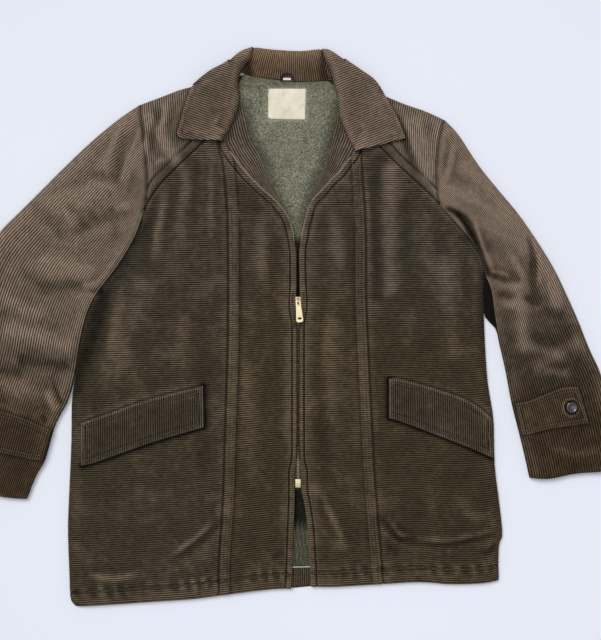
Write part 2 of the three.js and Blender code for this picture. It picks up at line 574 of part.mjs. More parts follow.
function addTape(side, front, hand) {
  const first = 6;
  const last = 24;
  const hidden = beside(front, -8, hand).slice(first, last);
  const shown = beside(front, 2, hand).slice(first, last).map((point) => {
    const closed = point.y < 36;
    return closed ? new THREE.Vector2(ZIP_X - 0.15 * hand, point.y) : point;
  });
  hidden[0].y = BOX.top + 0.4;
  shown[0].y = BOX.top + 0.4;
  const ends = [along(asRows([hidden[0], shown[0]]), [0, 0.5, 1])];
  ends.push(along(asRows([hidden[hidden.length - 1], shown[shown.length - 1]]), [0, 0.5, 1]));
  const net = netOf(ends[0], ends[1], hidden, shown);
  addWall(`zip_tape_${side}`, 'tape', net, () => TAPE_LOW, () => TAPE_THICK, 0);
}

addTape('left', FRONT_EDGE_L, 1);
addTape('right', FRONT_EDGE_R, -1);

function addFacing(side, front, inner, hand) {
  const hidden = beside(front, -6, hand).slice(16);
  const shown = along(inner, sharesOf(hidden));
  const bottom = along(asRows([hidden[0], shown[0]]), [0, 0.5, 1]);
  const top = along(asRows([hidden[hidden.length - 1], shown[shown.length - 1]]), [0, 0.5, 1]);
  const net = netOf(bottom, top, hidden, shown);
  addWall(`facing_${side}`, 'corduroy', net, () => FACING_LOW, () => FACING_THICK, 0);
}

addFacing('left', FRONT_EDGE_L, FACING_IN_L, 1);
addFacing('right', FRONT_EDGE_R, FACING_IN_R, -1);

// Collar: two falls over the shoulders, the band inside the neck and the part behind the neck.
function addFall(side, edges, panels) {
  const south = along(edges.bottom, ACROSS_FALL);
  const north = along(edges.outline, ACROSS_FALL);
  const west = along(edges.outer, UP_FALL);
  const east = along(edges.roll, UP_FALL);
  const net = netOf(south, north, west, east);
  const under = (x, y) => {
    const outline = rounded(nearest(edges.outline, x, y), 14);
    const toRoll = nearest(edges.roll, x, y);
    const span = COLLAR_EDGE_LOW + (COLLAR_SPAN - COLLAR_EDGE_LOW) * outline;
    const resting = topOver(panels, x, y) + 2 * LAYER_GAP;
    const full = Math.max(span, resting) + ROLL_RISE * soft(1 - toRoll / 55) * outline;
    const overFront = soft((edges.frontEnd - y) / 12);
    const overFacing = soft((345 - y) / 12);
    const seat = LINING_TOP + 0.5 + 2.9 * overFacing + 4.6 * overFront;
    const rest = Math.min(seat, full);
    return Math.max(rest + (full - rest) * rounded(toRoll, 9), resting);
  };
  return addWall(`collar_fall_${side}`, 'collar', net, under, () => COLLAR_THICK, 0.1);
}

addFall('left', {
  bottom: FALL_BOTTOM_L, outer: FALL_OUTER_L, outline: COLLAR_OUT_L, roll: ROLL_L, frontEnd: 298,
}, frontLeft);
addFall('right', {
  bottom: FALL_BOTTOM_R, outer: FALL_OUTER_R, outline: COLLAR_OUT_R, roll: ROLL_R, frontEnd: 288,
}, frontRight);

const bandNet = netOf(
  along(BAND_NECK, EVEN_8), along(BAND_TOP, EVEN_8), along(BAND_END_L, UP_BAND), along(BAND_END_R, UP_BAND),
);
const bandUnder = (x, y) => {
  const top = nearest(BAND_TOP, x, y);
  const neck = nearest(BAND_NECK, x, y);
  const rise = 5.0 + 5.5 * soft(neck / 30);
  return COLLAR_EDGE_LOW + (rise - COLLAR_EDGE_LOW) * rounded(top, 11);
};
addWall('collar_band', 'collar', bandNet, bandUnder, () => COLLAR_THICK, 0.1);
const collarOutline = joined(
  joined(along(COLLAR_OUT_L, ACROSS_FALL), along(BAND_TOP, EVEN_8)),
  backward(along(COLLAR_OUT_R, ACROSS_FALL)),
);
const behindNeck = backward(inset(backward(collarOutline), 0.1)).slice(1, -1);
addPlate('collar_under', 'collar', [...asRows(behindNeck), ...COLLAR_UNDER_NECK], 0, 3.0);

addPlate('neck_label', 'label', LABEL_EDGE, LINING_TOP + LAYER_GAP, 0.8);

// Hanging loop: a narrow strip bowed over the neck seam.
function arch(halfWide, rise, base) {
  const rows = [];
  for (let k = 0; k <= 8; k += 1) {
    const angle = Math.PI - (k / 8) * Math.PI;
    rows.push([1.5 + halfWide * Math.cos(angle), base + rise * Math.sin(angle)]);
  }
  return rows;
}
const loopEdge = [...arch(11, 10, 362), ...backward(arch(8, 7.5, 362))];
addPlate('hang_loop', 'corduroy', loopEdge, 10.0, 1.2);
addPlate('loop_stay', 'label', [[-4.5, 363.2], [7, 362.6], [7.2, 367], [-4.2, 367.8]], 9.0, 1.0);

// Slider, pull tab and the box at the zip's foot.
function solidOf(geometry) {
  const bare = geometry.clone();
  bare.deleteAttribute('normal');
  bare.deleteAttribute('uv');
  const merged = mergeVertices(bare, 1e-4);
  const vertProperties = new Float32Array(merged.attributes.position.array);
  const triVerts = new Uint32Array(merged.index.array);
  return new wasm.Manifold(new wasm.Mesh({ numProp: 3, vertProperties, triVerts }));
}

function geometryOf(solid) {
  const mesh = solid.getMesh();
  const geometry = new THREE.BufferGeometry();
  geometry.setAttribute('position', new THREE.BufferAttribute(new Float32Array(mesh.vertProperties), 3));
  geometry.setIndex(new THREE.BufferAttribute(new Uint32Array(mesh.triVerts), 1));
  return geometry;
}

function plateShape(halfTop, halfFoot, long) {
  const shape = new THREE.Shape();
  shape.moveTo(-halfTop, long / 2);
  shape.lineTo(-halfFoot, -long / 2 + 1.2);
  shape.lineTo(-halfFoot + 1.2, -long / 2);
  shape.lineTo(halfFoot - 1.2, -long / 2);
  shape.lineTo(halfFoot, -long / 2 + 1.2);
  shape.lineTo(halfTop, long / 2);
  shape.closePath();
  return shape;
}

function sliderSolid() {
  const { wide, long, plate, low, channel } = SLIDER;
  const shape = plateShape(wide / 2, wide / 2 - 0.9, long);
  const lower = new THREE.ExtrudeGeometry(shape, { depth: plate, bevelEnabled: false });
  lower.translate(0, 0, low);
  const upper = new THREE.ExtrudeGeometry(shape, { depth: plate, bevelEnabled: false });
  upper.translate(0, 0, low + plate + channel);
  const post = new THREE.BoxGeometry(2.0, 2.6, channel + 1);
  post.translate(0, long / 2 - 1.7, low + plate + channel / 2);
  const plateTop = low + 2 * plate + channel;
  const bridge = new THREE.Shape();
  const innerTop = PIVOT_Z + 1.25;
  bridge.moveTo(-4.2, plateTop - 0.4);
  bridge.lineTo(-3.4, innerTop + 0.6);
  bridge.lineTo(-2.2, innerTop + 1.3);
  bridge.lineTo(2.2, innerTop + 1.3);
  bridge.lineTo(3.4, innerTop + 0.6);
  bridge.lineTo(4.2, plateTop - 0.4);
  bridge.closePath();
  const mouth = new THREE.Path();
  mouth.moveTo(-2.9, plateTop + 0.01);
  mouth.lineTo(2.9, plateTop + 0.01);
  mouth.lineTo(2.2, innerTop - 0.2);
  mouth.lineTo(1.6, innerTop);
  mouth.lineTo(-1.6, innerTop);
  mouth.lineTo(-2.2, innerTop - 0.2);
  mouth.closePath();
  bridge.holes.push(mouth);
  const arched = new THREE.ExtrudeGeometry(bridge, { depth: 2.2, bevelEnabled: false });
  arched.translate(0, 0, -1.1);
  arched.rotateX(Math.PI / 2);
  arched.rotateZ(Math.PI / 2);
  return solidOf(lower).add(solidOf(upper)).add(solidOf(post)).add(solidOf(arched));
}

const slider = addPiece('zip_slider', 'brass', geometryOf(sliderSolid()));
slider.position.set(ZIP_X, SLIDER_Y, 0);

// The pull's shape hangs down from its crossbar, which turns about X at the shape's origin.
function pullShape() {
  const { wide, neck, long, bar } = PULL;
  const shape = new THREE.Shape();
  shape.moveTo(-neck / 2 + 0.8, bar / 2);
  shape.lineTo(-neck / 2, bar / 2 - 0.7);
  shape.lineTo(-neck / 2, -8);
  shape.lineTo(-wide / 2, -15);
  shape.lineTo(-wide / 2, -long + 3);
  shape.lineTo(-wide / 2 + 1, -long + 0.9);
  shape.lineTo(-wide / 2 + 3, -long);
  shape.lineTo(wide / 2 - 3, -long);
  shape.lineTo(wide / 2 - 1, -long + 0.9);
  shape.lineTo(wide / 2, -long + 3);
  shape.lineTo(wide / 2, -15);
  shape.lineTo(neck / 2, -8);
  shape.lineTo(neck / 2, bar / 2 - 0.7);
  shape.lineTo(neck / 2 - 0.8, bar / 2);
  shape.closePath();
  const slot = new THREE.Path();
  slot.moveTo(-1.6, -bar / 2);
  slot.lineTo(1.6, -bar / 2);
  slot.lineTo(1.6, -6.2);
  slot.lineTo(-1.6, -6.2);
  slot.closePath();
  const eye = new THREE.Path();
  eye.absarc(0, -long + 5.2, 2.1, 0, 2 * Math.PI, false);
  shape.holes.push(slot, eye);
  return shape;
}

const pullGeometry = new THREE.ExtrudeGeometry(pullShape(), {
  depth: PULL.thick, bevelEnabled: false, curveSegments: 8,
});
pullGeometry.translate(0, 0, -PULL.thick / 2);
const pull = addPiece('zip_pull', 'brass', pullGeometry);
pull.rotation.z = THREE.MathUtils.degToRad(PULL.turn);
pull.position.set(ZIP_X, SLIDER_Y, PIVOT_Z);

const boxShape = plateShape(BOX.wide / 2, BOX.wide / 2, BOX.long);
const boxGeometry = new THREE.ExtrudeGeometry(boxShape, { depth: BOX.high, bevelEnabled: false });
const box = addPiece('zip_box', 'brass', boxGeometry);
box.position.set(ZIP_X - 0.1, BOX.top - BOX.long / 2, BOX.low);

export default jacket;
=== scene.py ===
"""A pile-lined corduroy jacket laid flat on its back, with its sewing, zip and stage.

Lengths in the tables are millimetres, X to the right, Y toward the collar and Z up from the table.
Left and right are as seen from above: left is the side at negative X.
"""

import math

import bmesh
import bpy
import numpy as np
from mathutils import Matrix, Vector


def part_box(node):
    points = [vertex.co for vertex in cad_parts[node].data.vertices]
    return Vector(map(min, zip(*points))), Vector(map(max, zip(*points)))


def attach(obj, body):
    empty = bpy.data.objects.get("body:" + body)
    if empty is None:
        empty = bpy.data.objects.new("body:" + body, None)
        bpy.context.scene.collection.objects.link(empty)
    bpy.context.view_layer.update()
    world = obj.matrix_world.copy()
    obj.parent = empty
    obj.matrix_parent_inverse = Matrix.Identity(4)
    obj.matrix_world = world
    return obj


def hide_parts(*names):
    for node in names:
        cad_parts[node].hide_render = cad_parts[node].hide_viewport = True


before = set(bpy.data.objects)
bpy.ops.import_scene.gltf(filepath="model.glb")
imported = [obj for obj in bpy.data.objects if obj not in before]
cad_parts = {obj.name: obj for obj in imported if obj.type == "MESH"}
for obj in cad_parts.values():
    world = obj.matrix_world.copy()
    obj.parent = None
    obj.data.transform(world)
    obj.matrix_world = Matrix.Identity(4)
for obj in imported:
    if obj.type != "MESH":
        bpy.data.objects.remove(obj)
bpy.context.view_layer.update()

bl_info = {
    "name": "Laid corduroy jacket",
    "version": (1, 0, 0),
    "blender": (4, 5, 0),
    "location": "3D View > Sidebar > Jacket",
    "description": "Makes the cloth, sewing, zip and stage of a corduroy jacket laid flat",
    "category": "Add Mesh",
}

MM = 0.001

# Layers from the table upward.
BACK_THICK = 2.0
LINING_TOP = 7.0
FRONT_REST = 2.3
EDGE_LIFT = 3.8
COLLAR_THICK = 3.2
FLAP_THICK = 2.8
CREASE_DEPTH = 1.9
# The lowest that the top of a front and of a sleeve may come, above the layer under it.
FRONT_LEAST = 3.6
SLEEVE_LEAST = 5.8
LEAST_WALL = 1.2
LAYER_GAP = 0.15
# Where the fronts' top stays under the zip's pull tab.
PULL_CLEAR = 13.7

# Stitched lines and folds, each by its distance from the edge or seam that it follows.
HEM_STITCH = 22
ARM_STITCH = 6
RIM_STITCH = 7
TAB_STITCH = 6.5
BAND_STITCHES = (4.4, 13.6)
BAND_EDGE = 16.5
LAP_EDGE = 12.8
STRIP_FOLD = 8.6

# Rows of a net to each wale, where the cloth shows and where it doesn't.
PER = 4
PER_HIDDEN = 2
HIDDEN_RELIEF = 0.3
CURLS_PER_M2 = 320000.0

SIDES = ("left", "right")
HAND = {"left": 1, "right": -1}
HEM = ("hem_side", "hem_centre")
UP, ACROSS = (0, 1), (1, 0)

# Edges of the cut pieces, each row an [x, y] on the laid garment, from the hem or the armhole up.
EDGES = {
    "left": {
        "side": [[-306, -403], [-314, -391], [-316, -355], [-318, -290], [-316, -232], [-313, -160],
                 [-312, -102], [-305, -51], [-297.5, -7], [-287.5, 29], [-274, 57]],
        "arm_low": [[-274, 57], [-255, 80], [-235, 109], [-218, 141], [-207, 174]],
        "arm_top": [[-207, 174], [-203, 203], [-203, 232], [-206, 261], [-209, 293], [-213, 328]],
        "yoke_seam": [[-207, 174], [-196, 194], [-178, 218], [-146, 249], [-120, 274], [-100, 294]],
        "shoulder": [[-213, 328], [-183, 339], [-154, 350], [-125, 357], [-102, 362], [-83, 367]],
        "yoke_neck": [[-100, 294], [-91, 319], [-84, 345], [-83, 367]],
        "hem_side": [[-306, -403], [-255, -400], [-197, -396], [-139, -392], [-97, -387]],
        "hem_centre": [[-97, -387], [-52, -381], [-16, -377], [7, -377]],
        "princess": [[-97, -387], [-97, -334], [-91, -246], [-88, -145], [-84, -14], [-84, 138],
                     [-86, 188], [-91, 239], [-99, 271], [-100, 294]],
        "front": [[7, -377], [8, -365], [9, -340], [10, -304], [12, -261], [12.6, -232],
                  [12.6, -205], [16.6, -185], [17.2, -130], [17.2, -80], [17.2, -30], [17, 8], [13.8, 28],
                  [13.2, 45], [14.2, 64], [14, 112], [9, 142], [3, 162], [-9, 180], [-23, 194],
                  [-38, 207], [-53, 222], [-67, 238], [-86, 265], [-88, 289]],
        "facing_in": [[10.5, 142], [-4, 177], [-23, 210], [-30, 232], [-38, 254], [-51, 276],
                      [-58, 302], [-64, 328]],
        "outer": [[-213, 328], [-241, 309], [-270, 286], [-299, 260], [-328, 232], [-357, 203],
                  [-386, 174], [-415, 145], [-435, 116], [-450, 80], [-460, 36], [-470, -22],
                  [-481, -94], [-493, -160], [-505, -220]],
        "inner": [[-274, 57], [-288, 29], [-298, -7], [-308, -65], [-318, -102], [-332, -128],
                  [-340, -148], [-352, -190], [-365, -213], [-378, -246]],
        "cuff": [[-505, -220], [-458, -232], [-415, -242], [-378, -246]],
        "fall_bottom": [[-158, 284], [-152, 278], [-136, 276], [-93, 273]],
        "fall_outer": [[-158, 284], [-151, 310], [-144, 334], [-135, 357]],
        "collar_out": [[-135, 357], [-110, 376], [-88, 388], [-67, 405], [-48, 412]],
        "roll": [[-93, 273], [-80, 294], [-70, 319], [-67, 339], [-69, 357], [-65, 377],
                 [-52, 393], [-48, 412]],
        "flap_top": [[-297, -135], [-255, -120], [-197, -100], [-120, -81]],
        "flap_bottom": [[-297, -197], [-270, -190], [-197, -164], [-119, -141]],
        "tab_top": [[-466, -98], [-415, -117], [-386, -126], [-357, -138], [-340, -145]],
        "tab_bottom": [[-479, -158], [-415, -177], [-384, -184], [-371, -187], [-353, -189]],
        "lining": [[-290, -368], [-295, -350], [-297, -290], [-295, -232], [-292, -160], [-290, -104],
                   [-279, -55], [-272, -11], [-263, 25], [-255, 48], [-243, 75], [-224, 105],
                   [-205, 136], [-191, 174], [-188, 232], [-189, 293], [-180, 316], [-154, 328],
                   [-125, 336], [-90, 343], [-72, 356], [-62, 371.5]],
        "under_neck": [[-124, 360.5], [-102, 364.5], [-83, 369.5], [-64, 376]],
    },
    "right": {
        "side": [[310, -365], [310, -316], [315, -296], [310, -246], [304, -196], [302, -130],
                 [294, -77], [290, -22], [288, 29], [287, 58], [291, 78]],
        "arm_low": [[291, 78], [286, 106], [270, 130], [246, 158], [223, 184]],
        "arm_top": [[223, 184], [219, 215], [220, 246], [223, 278], [231, 306]],
        "yoke_seam": [[223, 184], [194, 212], [165, 238], [138, 265], [112, 287]],
        "shoulder": [[231, 306], [202, 319], [173, 329], [142, 342], [115, 354], [86, 367]],
        "yoke_neck": [[112, 287], [99, 313], [90, 341], [86, 367]],
        "hem_side": [[310, -365], [281, -369], [238, -370], [194, -367], [141, -370]],
        "hem_centre": [[141, -370], [107, -372], [71, -374], [36, -374]],
        "princess": [[141, -370], [138, -326], [130, -232], [125, -145], [119, -22], [116, 58],
                     [116, 138], [113, 196], [109, 264], [112, 287]],
        "front": [[36, -374], [36, -362], [35, -338], [32, -292], [27, -254], [22.6, -232],
                  [22.4, -205], [18.4, -185], [17.8, -130], [17.8, -80], [17.8, -30], [18, 8], [21.2, 28],
                  [21.8, 45], [20.8, 64], [20, 112], [25, 145], [33, 177], [40, 190], [49, 199],
                  [68, 220], [78, 229], [88, 243], [98, 256], [103, 278]],
        "facing_in": [[22.5, 144], [28, 171], [36, 193], [52, 230], [62, 256], [67, 278],
                      [73, 302], [75, 324]],
        "outer": [[231, 306], [252, 283], [281, 239], [310, 203], [339, 168], [368, 126], [392, 86],
                  [412, 44], [426, 12], [441, -26], [457, -61], [470, -102], [481, -152], [490, -203]],
        "inner": [[291, 78], [299, 57], [304, 22], [310, -14], [320, -58], [329, -106], [341, -154],
                  [348, -183], [355, -215]],
        "cuff": [[490, -203], [457, -206], [419, -209], [383, -216], [355, -215]],
        "fall_bottom": [[173, 278], [148, 271], [122, 264], [100, 258]],
        "fall_outer": [[173, 278], [164, 302], [152, 325], [142, 344]],
        "collar_out": [[142, 344], [129, 362], [107, 378], [81, 396], [64, 407], [52, 409]],
        "roll": [[100, 258], [86, 287], [77, 310], [74, 336], [69, 360], [64, 377], [57, 392], [52, 409]],
        "flap_top": [[149, -71], [165, -71], [223, -87], [267, -104], [299, -128]],
        "flap_bottom": [[149, -128], [165, -132], [223, -154], [267, -171], [301, -186]],
        "tab_top": [[332, -107], [354, -102], [383, -90], [405, -83], [423, -83]],
        "tab_bottom": [[343, -153], [376, -145], [397, -141], [420, -138], [439, -135]],
        "lining": [[290, -333], [292, -296], [288, -246], [283, -196], [281, -130], [273, -77],
                   [269, -22], [267, 29], [268, 70], [262, 100], [250, 124], [226, 152], [207, 184],
                   [203, 215], [204, 250], [206, 275], [200, 297], [173, 307], [142, 320],
                   [115, 333], [90, 344], [72, 354], [61, 362.5]],
        "under_neck": [[138, 346.5], [116, 355.5], [87, 369], [64, 368]],
    },
}
BAND_TOP = [[-45, 411.5], [-16, 408], [20, 406], [49, 409]]
BAND_NECK = [[-62, 372.6], [-45, 369.4], [-16, 365.3], [20, 361.4], [61, 363.4]]
NECK_UNDER = [[-64, 376], [-45, 372.5], [-16, 368.5], [20, 364.5], [64, 368]]
LINING_FOOT = [[-290, -368], [-197, -362], [-97, -352], [7, -344], [36, -343], [141, -338], [290, -333]]
FACING_TOP = [[-288, -371], [-197, -365], [-97, -355], [7, -347], [36, -346], [141, -341], [288, -336]]
FACING_FOOT = [[-288, -399], [-197, -393], [-97, -384], [7, -375], [36, -372], [141, -368],
               [238, -368], [288, -366]]
LABEL_TOP = [[-26, 351], [29, 351]]
LABEL_FOOT = [[-26, 309], [-22, 306.8], [28, 306]]
BUTTON_AT = {"left": (-455, -130), "right": (413, -112)}
FRONT_END = {"left": 298, "right": 288}
ZIP_X = 17.5
ARMPIT = [[291, 78], [300, 30], [306, 0]]
BACK_NECK = [[-64, 372], [-45, 370.5], [-16, 366.5], [20, 362.5], [64, 366]]
LINING_NECK = [[-62, 371.5], [-16, 364.5], [20, 360.5], [61, 362.5]]
SLIDER_Y = 42
PULL_TURN = 5
HOLE_AT = 2.3
BUTTON_PROFILE = [(0, 0), (6.4, 0), (7.5, 0.5), (8, 1.4), (8, 2.3), (7.7, 3.0), (7.0, 3.4), (6.2, 3.35),
                  (5.5, 2.9), (4.8, 2.5), (0, 2.35)]
SLEEVE_WIDE = {"left": 150, "right": 124}
# How worn each sleeve is at these distances from its cuff.
FROM_CUFF = (0, 78, 110, 190, 300, 420)
SLEEVE_WORN = {"left": (0.0, 0.02, 0.3, 0.42, 0.64, 0.7), "right": (0.0, 0.0, 0.02, 0.14, 0.48, 0.68)}

# The solids' own large folds: from, to, height (a trough is below zero) and half width.
FOLDS = [
    ([-229, 305], [-262, 240], 4.0, 11),
    ([-205, 268], [-232, 225], 3.0, 9),
    ([-325, 190], [-262, 203], 3.5, 12),
    ([-300, 150], [-240, 172], -2.2, 10),
    ([-345, 98], [-292, 84], 4.0, 13),
    ([-345, 62], [-280, 66], -2.4, 9),
    ([-395, 0], [-320, -20], 3.5, 16),
    ([-380, -45], [-320, -52], -2.2, 11),
    ([-440, -70], [-345, -96], 2.5, 14),
    ([-440, 40], [-450, -60], 3.0, 15),
    ([232, 200], [262, 186], 3.5, 19),
    ([262, 186], [318, 152], 6.0, 20),
    ([318, 152], [346, 122], 3.5, 18),
    ([262, 160], [292, 120], -2.4, 9),
    ([304, 82], [332, 74], -2.4, 9),
    ([354, 126], [361, 48], -2.4, 8),
    ([378, 110], [392, 40], 4.0, 11),
    ([335, 60], [345, -20], 4.0, 13),
    ([420, -20], [370, -50], 3.0, 14),
    ([300, 200], [262, 235], 3.0, 12),
    ([-196, 303], [-160, 246], 3.0, 10),
    ([188, 300], [208, 232], 3.0, 10),
    ([132, 245], [134, 50], -2.2, 9),
    ([152, 230], [152, 60], 3.5, 14),
    ([-97, -280], [-140, -320], -2.0, 9),
    ([141, -275], [182, -304], -2.0, 9),
    ([45, -232], [78, -310], 2.5, 14),
    ([-210, 60], [-250, -60], 3.0, 22),
    ([230, 90], [245, -30], 3.0, 20),
]

# Finer creases, listed one by one: the path, height (a trough is below zero) and half width.
CREASES = {
    "sleeve_left": [
        ([[-233, 307], [-244, 278], [-255, 246], [-259, 220]], 2.6, 4.5),
        ([[-214, 295], [-212, 284], [-227, 249], [-233, 222]], 2.2, 4),
        ([[-228, 290], [-236, 267], [-242, 233], [-246, 207]], -2.6, 5),
        ([[-222, 240], [-224, 214], [-232, 190]], -1.2, 5),
        ([[-287, 216], [-278, 212], [-266, 206]], 1.4, 3.5),
        ([[-262, 204], [-250, 192]], -1.5, 4),
        ([[-249, 172], [-236, 179], [-224, 176]], 2.0, 5),
        ([[-288, 172], [-278, 164], [-270, 152]], -1.5, 3.5),
        ([[-310, 178], [-282, 182]], 1.3, 6),
        ([[-262, 190], [-248, 150], [-254, 118]], -1.4, 9),
        ([[-287, 62], [-276, 55], [-262, 60]], -2.4, 3.5),
        ([[-300, 66], [-284, 64], [-268, 68]], 1.6, 5),
        ([[-340, -70], [-330, -98], [-322, -108]], -2.0, 3.2),
        ([[-349, -84], [-339, -108], [-328, -118]], 1.5, 4),
        ([[-356, -122], [-346, -136]], -1.6, 3.5),
        ([[-400, 100], [-352, 62], [-312, 40]], -1.2, 12),
        ([[-430, 60], [-380, 30], [-340, 24]], 1.2, 11),
        ([[-452, -30], [-410, -58], [-360, -62]], -1.1, 11),
        ([[-420, 130], [-436, 60]], 1.4, 12),
        ([[-380, 190], [-335, 150], [-322, 126]], -1.2, 9),
        ([[-360, 196], [-318, 168], [-300, 140]], 1.3, 8),
    ],
    "sleeve_right": [
        ([[244, 274], [240, 250], [233, 222], [223, 204]], 2.2, 3.6),
        ([[237, 262], [229, 228]], -1.5, 5),
        ([[223, 196], [241, 203], [255, 188], [281, 178], [310, 157], [336, 130]], 3.0, 6),
        ([[232, 176], [247, 170], [261, 157], [273, 133], [284, 109], [291, 84]], -4.6, 5.5),
        ([[267, 168], [279, 138], [290, 104], [302, 86]], 2.4, 5),
        ([[252, 236], [290, 214], [316, 180], [338, 156], [358, 146]], 1.4, 8),
        ([[300, 232], [330, 196], [352, 166]], -1.3, 8),
        ([[294, 85], [310, 83], [327, 76]], 1.8, 2.6),
        ([[296, 79], [312, 76], [330, 69]], -2.0, 3.4),
        ([[345, 142], [356, 123], [361, 87], [357, 58]], -2.2, 3.4),
        ([[352, 140], [364, 120], [369, 86], [364, 60]], 1.8, 4.5),
        ([[338, 50], [352, 45], [364, 40], [373, 50]], -2.2, 4.5),
        ([[318, 118], [336, 92], [346, 66]], 1.3, 6),
        ([[303, 55], [338, 47]], -1.2, 7),
        ([[306, 40], [330, 36], [354, 28]], 1.3, 7),
        ([[340, 0], [392, -14], [430, -6]], -0.5, 10),
        ([[326, -24], [376, -30], [420, -52]], 0.9, 9),
        ([[372, -60], [420, -64]], 1.0, 8),
        ([[368, -166], [420, -178], [470, -172]], 1.0, 11),
    ],
    "front_left": [
        ([[-183, 330], [-189, 299], [-196, 268], [-203, 240]], -2.2, 7),
        ([[-172, 336], [-183, 270]], 1.4, 5.5),
        ([[-192, 241], [-174, 249]], 1.2, 4),
        ([[-183, 205], [-197, 153], [-206, 90]], -1.4, 8),
        ([[-170, 212], [-184, 153], [-192, 96]], 1.2, 8),
        ([[-154, 226], [-169, 168], [-177, 100]], -1.2, 8),
        ([[-140, 244], [-148, 188], [-156, 110]], 1.2, 9),
        ([[-126, 258], [-131, 215], [-132, 150]], -1.2, 7),
        ([[-106, 276], [-109, 200], [-108, 120]], 0.9, 6),
        ([[-256, 76], [-272, -8], [-279, -50]], -0.9, 16),
        ([[-236, 84], [-248, 10], [-256, -50]], 1.2, 11),
        ([[-98, -280], [-117, -300], [-139, -319], [-168, -336]], -1.8, 3),
        ([[-98, -273], [-121, -293], [-144, -312], [-172, -330]], 1.1, 4.5),
        ([[-2, -319], [-23, -333]], -1.4, 5),
        ([[-60, 20], [-54, -120], [-50, -240]], 0.9, 16),
        ([[-150, 40], [-160, -60]], 0.9, 18),
        ([[-118, 40], [-122, -120], [-116, -250]], -0.8, 12),
        ([[-230, -20], [-212, -90], [-150, -104]], 0.8, 14),
        ([[-60, 180], [-66, 60], [-62, -60]], -0.7, 12),
        ([[-292, -352], [-250, -360], [-200, -352]], 1.2, 7),
        ([[-226, -230], [-180, -250]], 0.8, 14),
        ([[-30, 190], [-36, 120], [-30, 40]], 0.9, 12),
    ],
    "front_right": [
        ([[170, 320], [194, 246], [214, 206]], 2.0, 5),
        ([[158, 322], [180, 250], [196, 220]], -1.8, 6),
        ([[124, 250], [128, 190], [127, 60]], -1.0, 6),
        ([[139, -275], [151, -290], [165, -304], [183, -306]], -2.2, 2.6),
        ([[141, -268], [155, -283], [168, -297], [186, -299]], 1.3, 4),
        ([[176, -306], [206, -312], [244, -311], [284, -302], [308, -292]], -1.5, 3.4),
        ([[180, -298], [210, -304], [244, -303], [284, -294], [308, -285]], 0.45, 5),
        ([[144, -311], [165, -329]], -1.6, 3.2),
        ([[42, -232], [60, -280], [78, -311]], -1.3, 6),
        ([[50, -230], [69, -278], [88, -312]], 0.6, 5),
        ([[252, 140], [262, 80], [264, 20]], -1.2, 10),
        ([[196, 196], [206, 120], [204, 40]], 0.9, 12),
        ([[172, 214], [176, 150], [174, 90]], -1.0, 8),
        ([[60, 100], [66, -40], [64, -160]], 0.8, 16),
        ([[284, -328], [310, -310]], -2.0, 5),
        ([[240, -230], [262, -262], [292, -276]], 0.9, 12),
        ([[60, 190], [74, 140], [76, 60]], 0.9, 12),
        ([[92, 200], [98, 60], [96, -120]], -0.7, 12),
        ([[50, -60], [56, -180], [60, -230]], -0.7, 10),
        ([[176, 40], [182, -40]], 0.9, 16),
        ([[228, -200], [250, -260], [262, -330]], -0.8, 12),
        ([[200, -200], [214, -270], [222, -340]], 0.8, 12),
    ],
}

# Hollows that lie in deep shade: the path, how dark, and half width.
HOLLOWS = {
    "front_left": [([[-212, 152], [-244, 99], [-270, 44], [-288, -22], [-306, -87]], 0.66, 14)],
    "sleeve_right": [([[236, 177], [249, 169], [262, 154], [275, 129], [286, 104], [293, 84]], 0.62, 4.2)],
    "front_right": [([[262, 134], [280, 108], [288, 76], [289, 20], [294, -20]], 0.4, 7)],
}


def linear(hex_colour):
    """The linear colour of an sRGB hex value."""
    parts = [int(hex_colour[i:i + 2], 16) / 255 for i in (1, 3, 5)]
    return tuple(p / 12.92 if p <= 0.04045 else ((p + 0.055) / 1.055) ** 2.4 for p in parts)


def colour_property(name, description, hex_colour):
    return bpy.props.FloatVectorProperty(
        name=name, description=description, default=linear(hex_colour), subtype="COLOR", size=3, min=0, max=1)


def length_property(name, description, millimetres):
    return bpy.props.FloatProperty(
        name=name, description=description, default=millimetres * MM, unit="LENGTH", min=0.0, precision=5)


class JacketSizes(bpy.types.PropertyGroup):
    """Sizes of the cloth's form and of the sewing."""
    wale_pitch: length_property("Wale pitch", "From one wale of the corduroy to the next", 3.175)
    wale_height: length_property("Wale height", "From furrow to crest", 0.75)
    stitch_pitch: length_property("Stitch pitch", "From one topstitch to the next", 3.6)
    stitch_length: length_property("Stitch length", "Length of thread that shows", 2.6)
    thread_width: length_property("Thread width", "Width of the topstitching thread", 0.8)
    tooth_pitch: length_property("Tooth pitch", "From one zip tooth to the next on the same tape", 2.2)
    tuft_length: length_property("Tuft length", "Length of a curl of the pile lining", 3.2)


class JacketColours(bpy.types.PropertyGroup):
    """Colours of the cloths, the metal and the stage."""
    crest_dark: colour_property("Body crest", "Crests of the wales on the body", "#5b5142")
    furrow_dark: colour_property("Body furrow", "Furrows on the body", "#17110b")
    crest_worn: colour_property("Worn crest", "Crests of the wales where the cloth is worn", "#ab9887")
    furrow_worn: colour_property("Worn furrow", "Furrows where the cloth is worn", "#46392e")
    thread: colour_property("Thread", "Topstitching thread", "#8d7f6e")
    pile_light: colour_property("Pile tips", "Tips of the pile lining", "#a09f8a")
    pile_dark: colour_property("Pile depth", "Depth of the pile lining", "#605f4e")
    label: colour_property("Label", "Bare woven label", "#f0e8d6")
    brass: colour_property("Brass", "Worn zip brass", "#d8cba4")
    button: colour_property("Button", "Resin of the buttons", "#2f292d")
    floor: colour_property("Floor", "Paper that the jacket lies on", "#eff2fb")


# Plane geometry on arrays of points.

def soft(t):
    t = np.clip(t, 0, 1)
    return t * t * (3 - 2 * t)


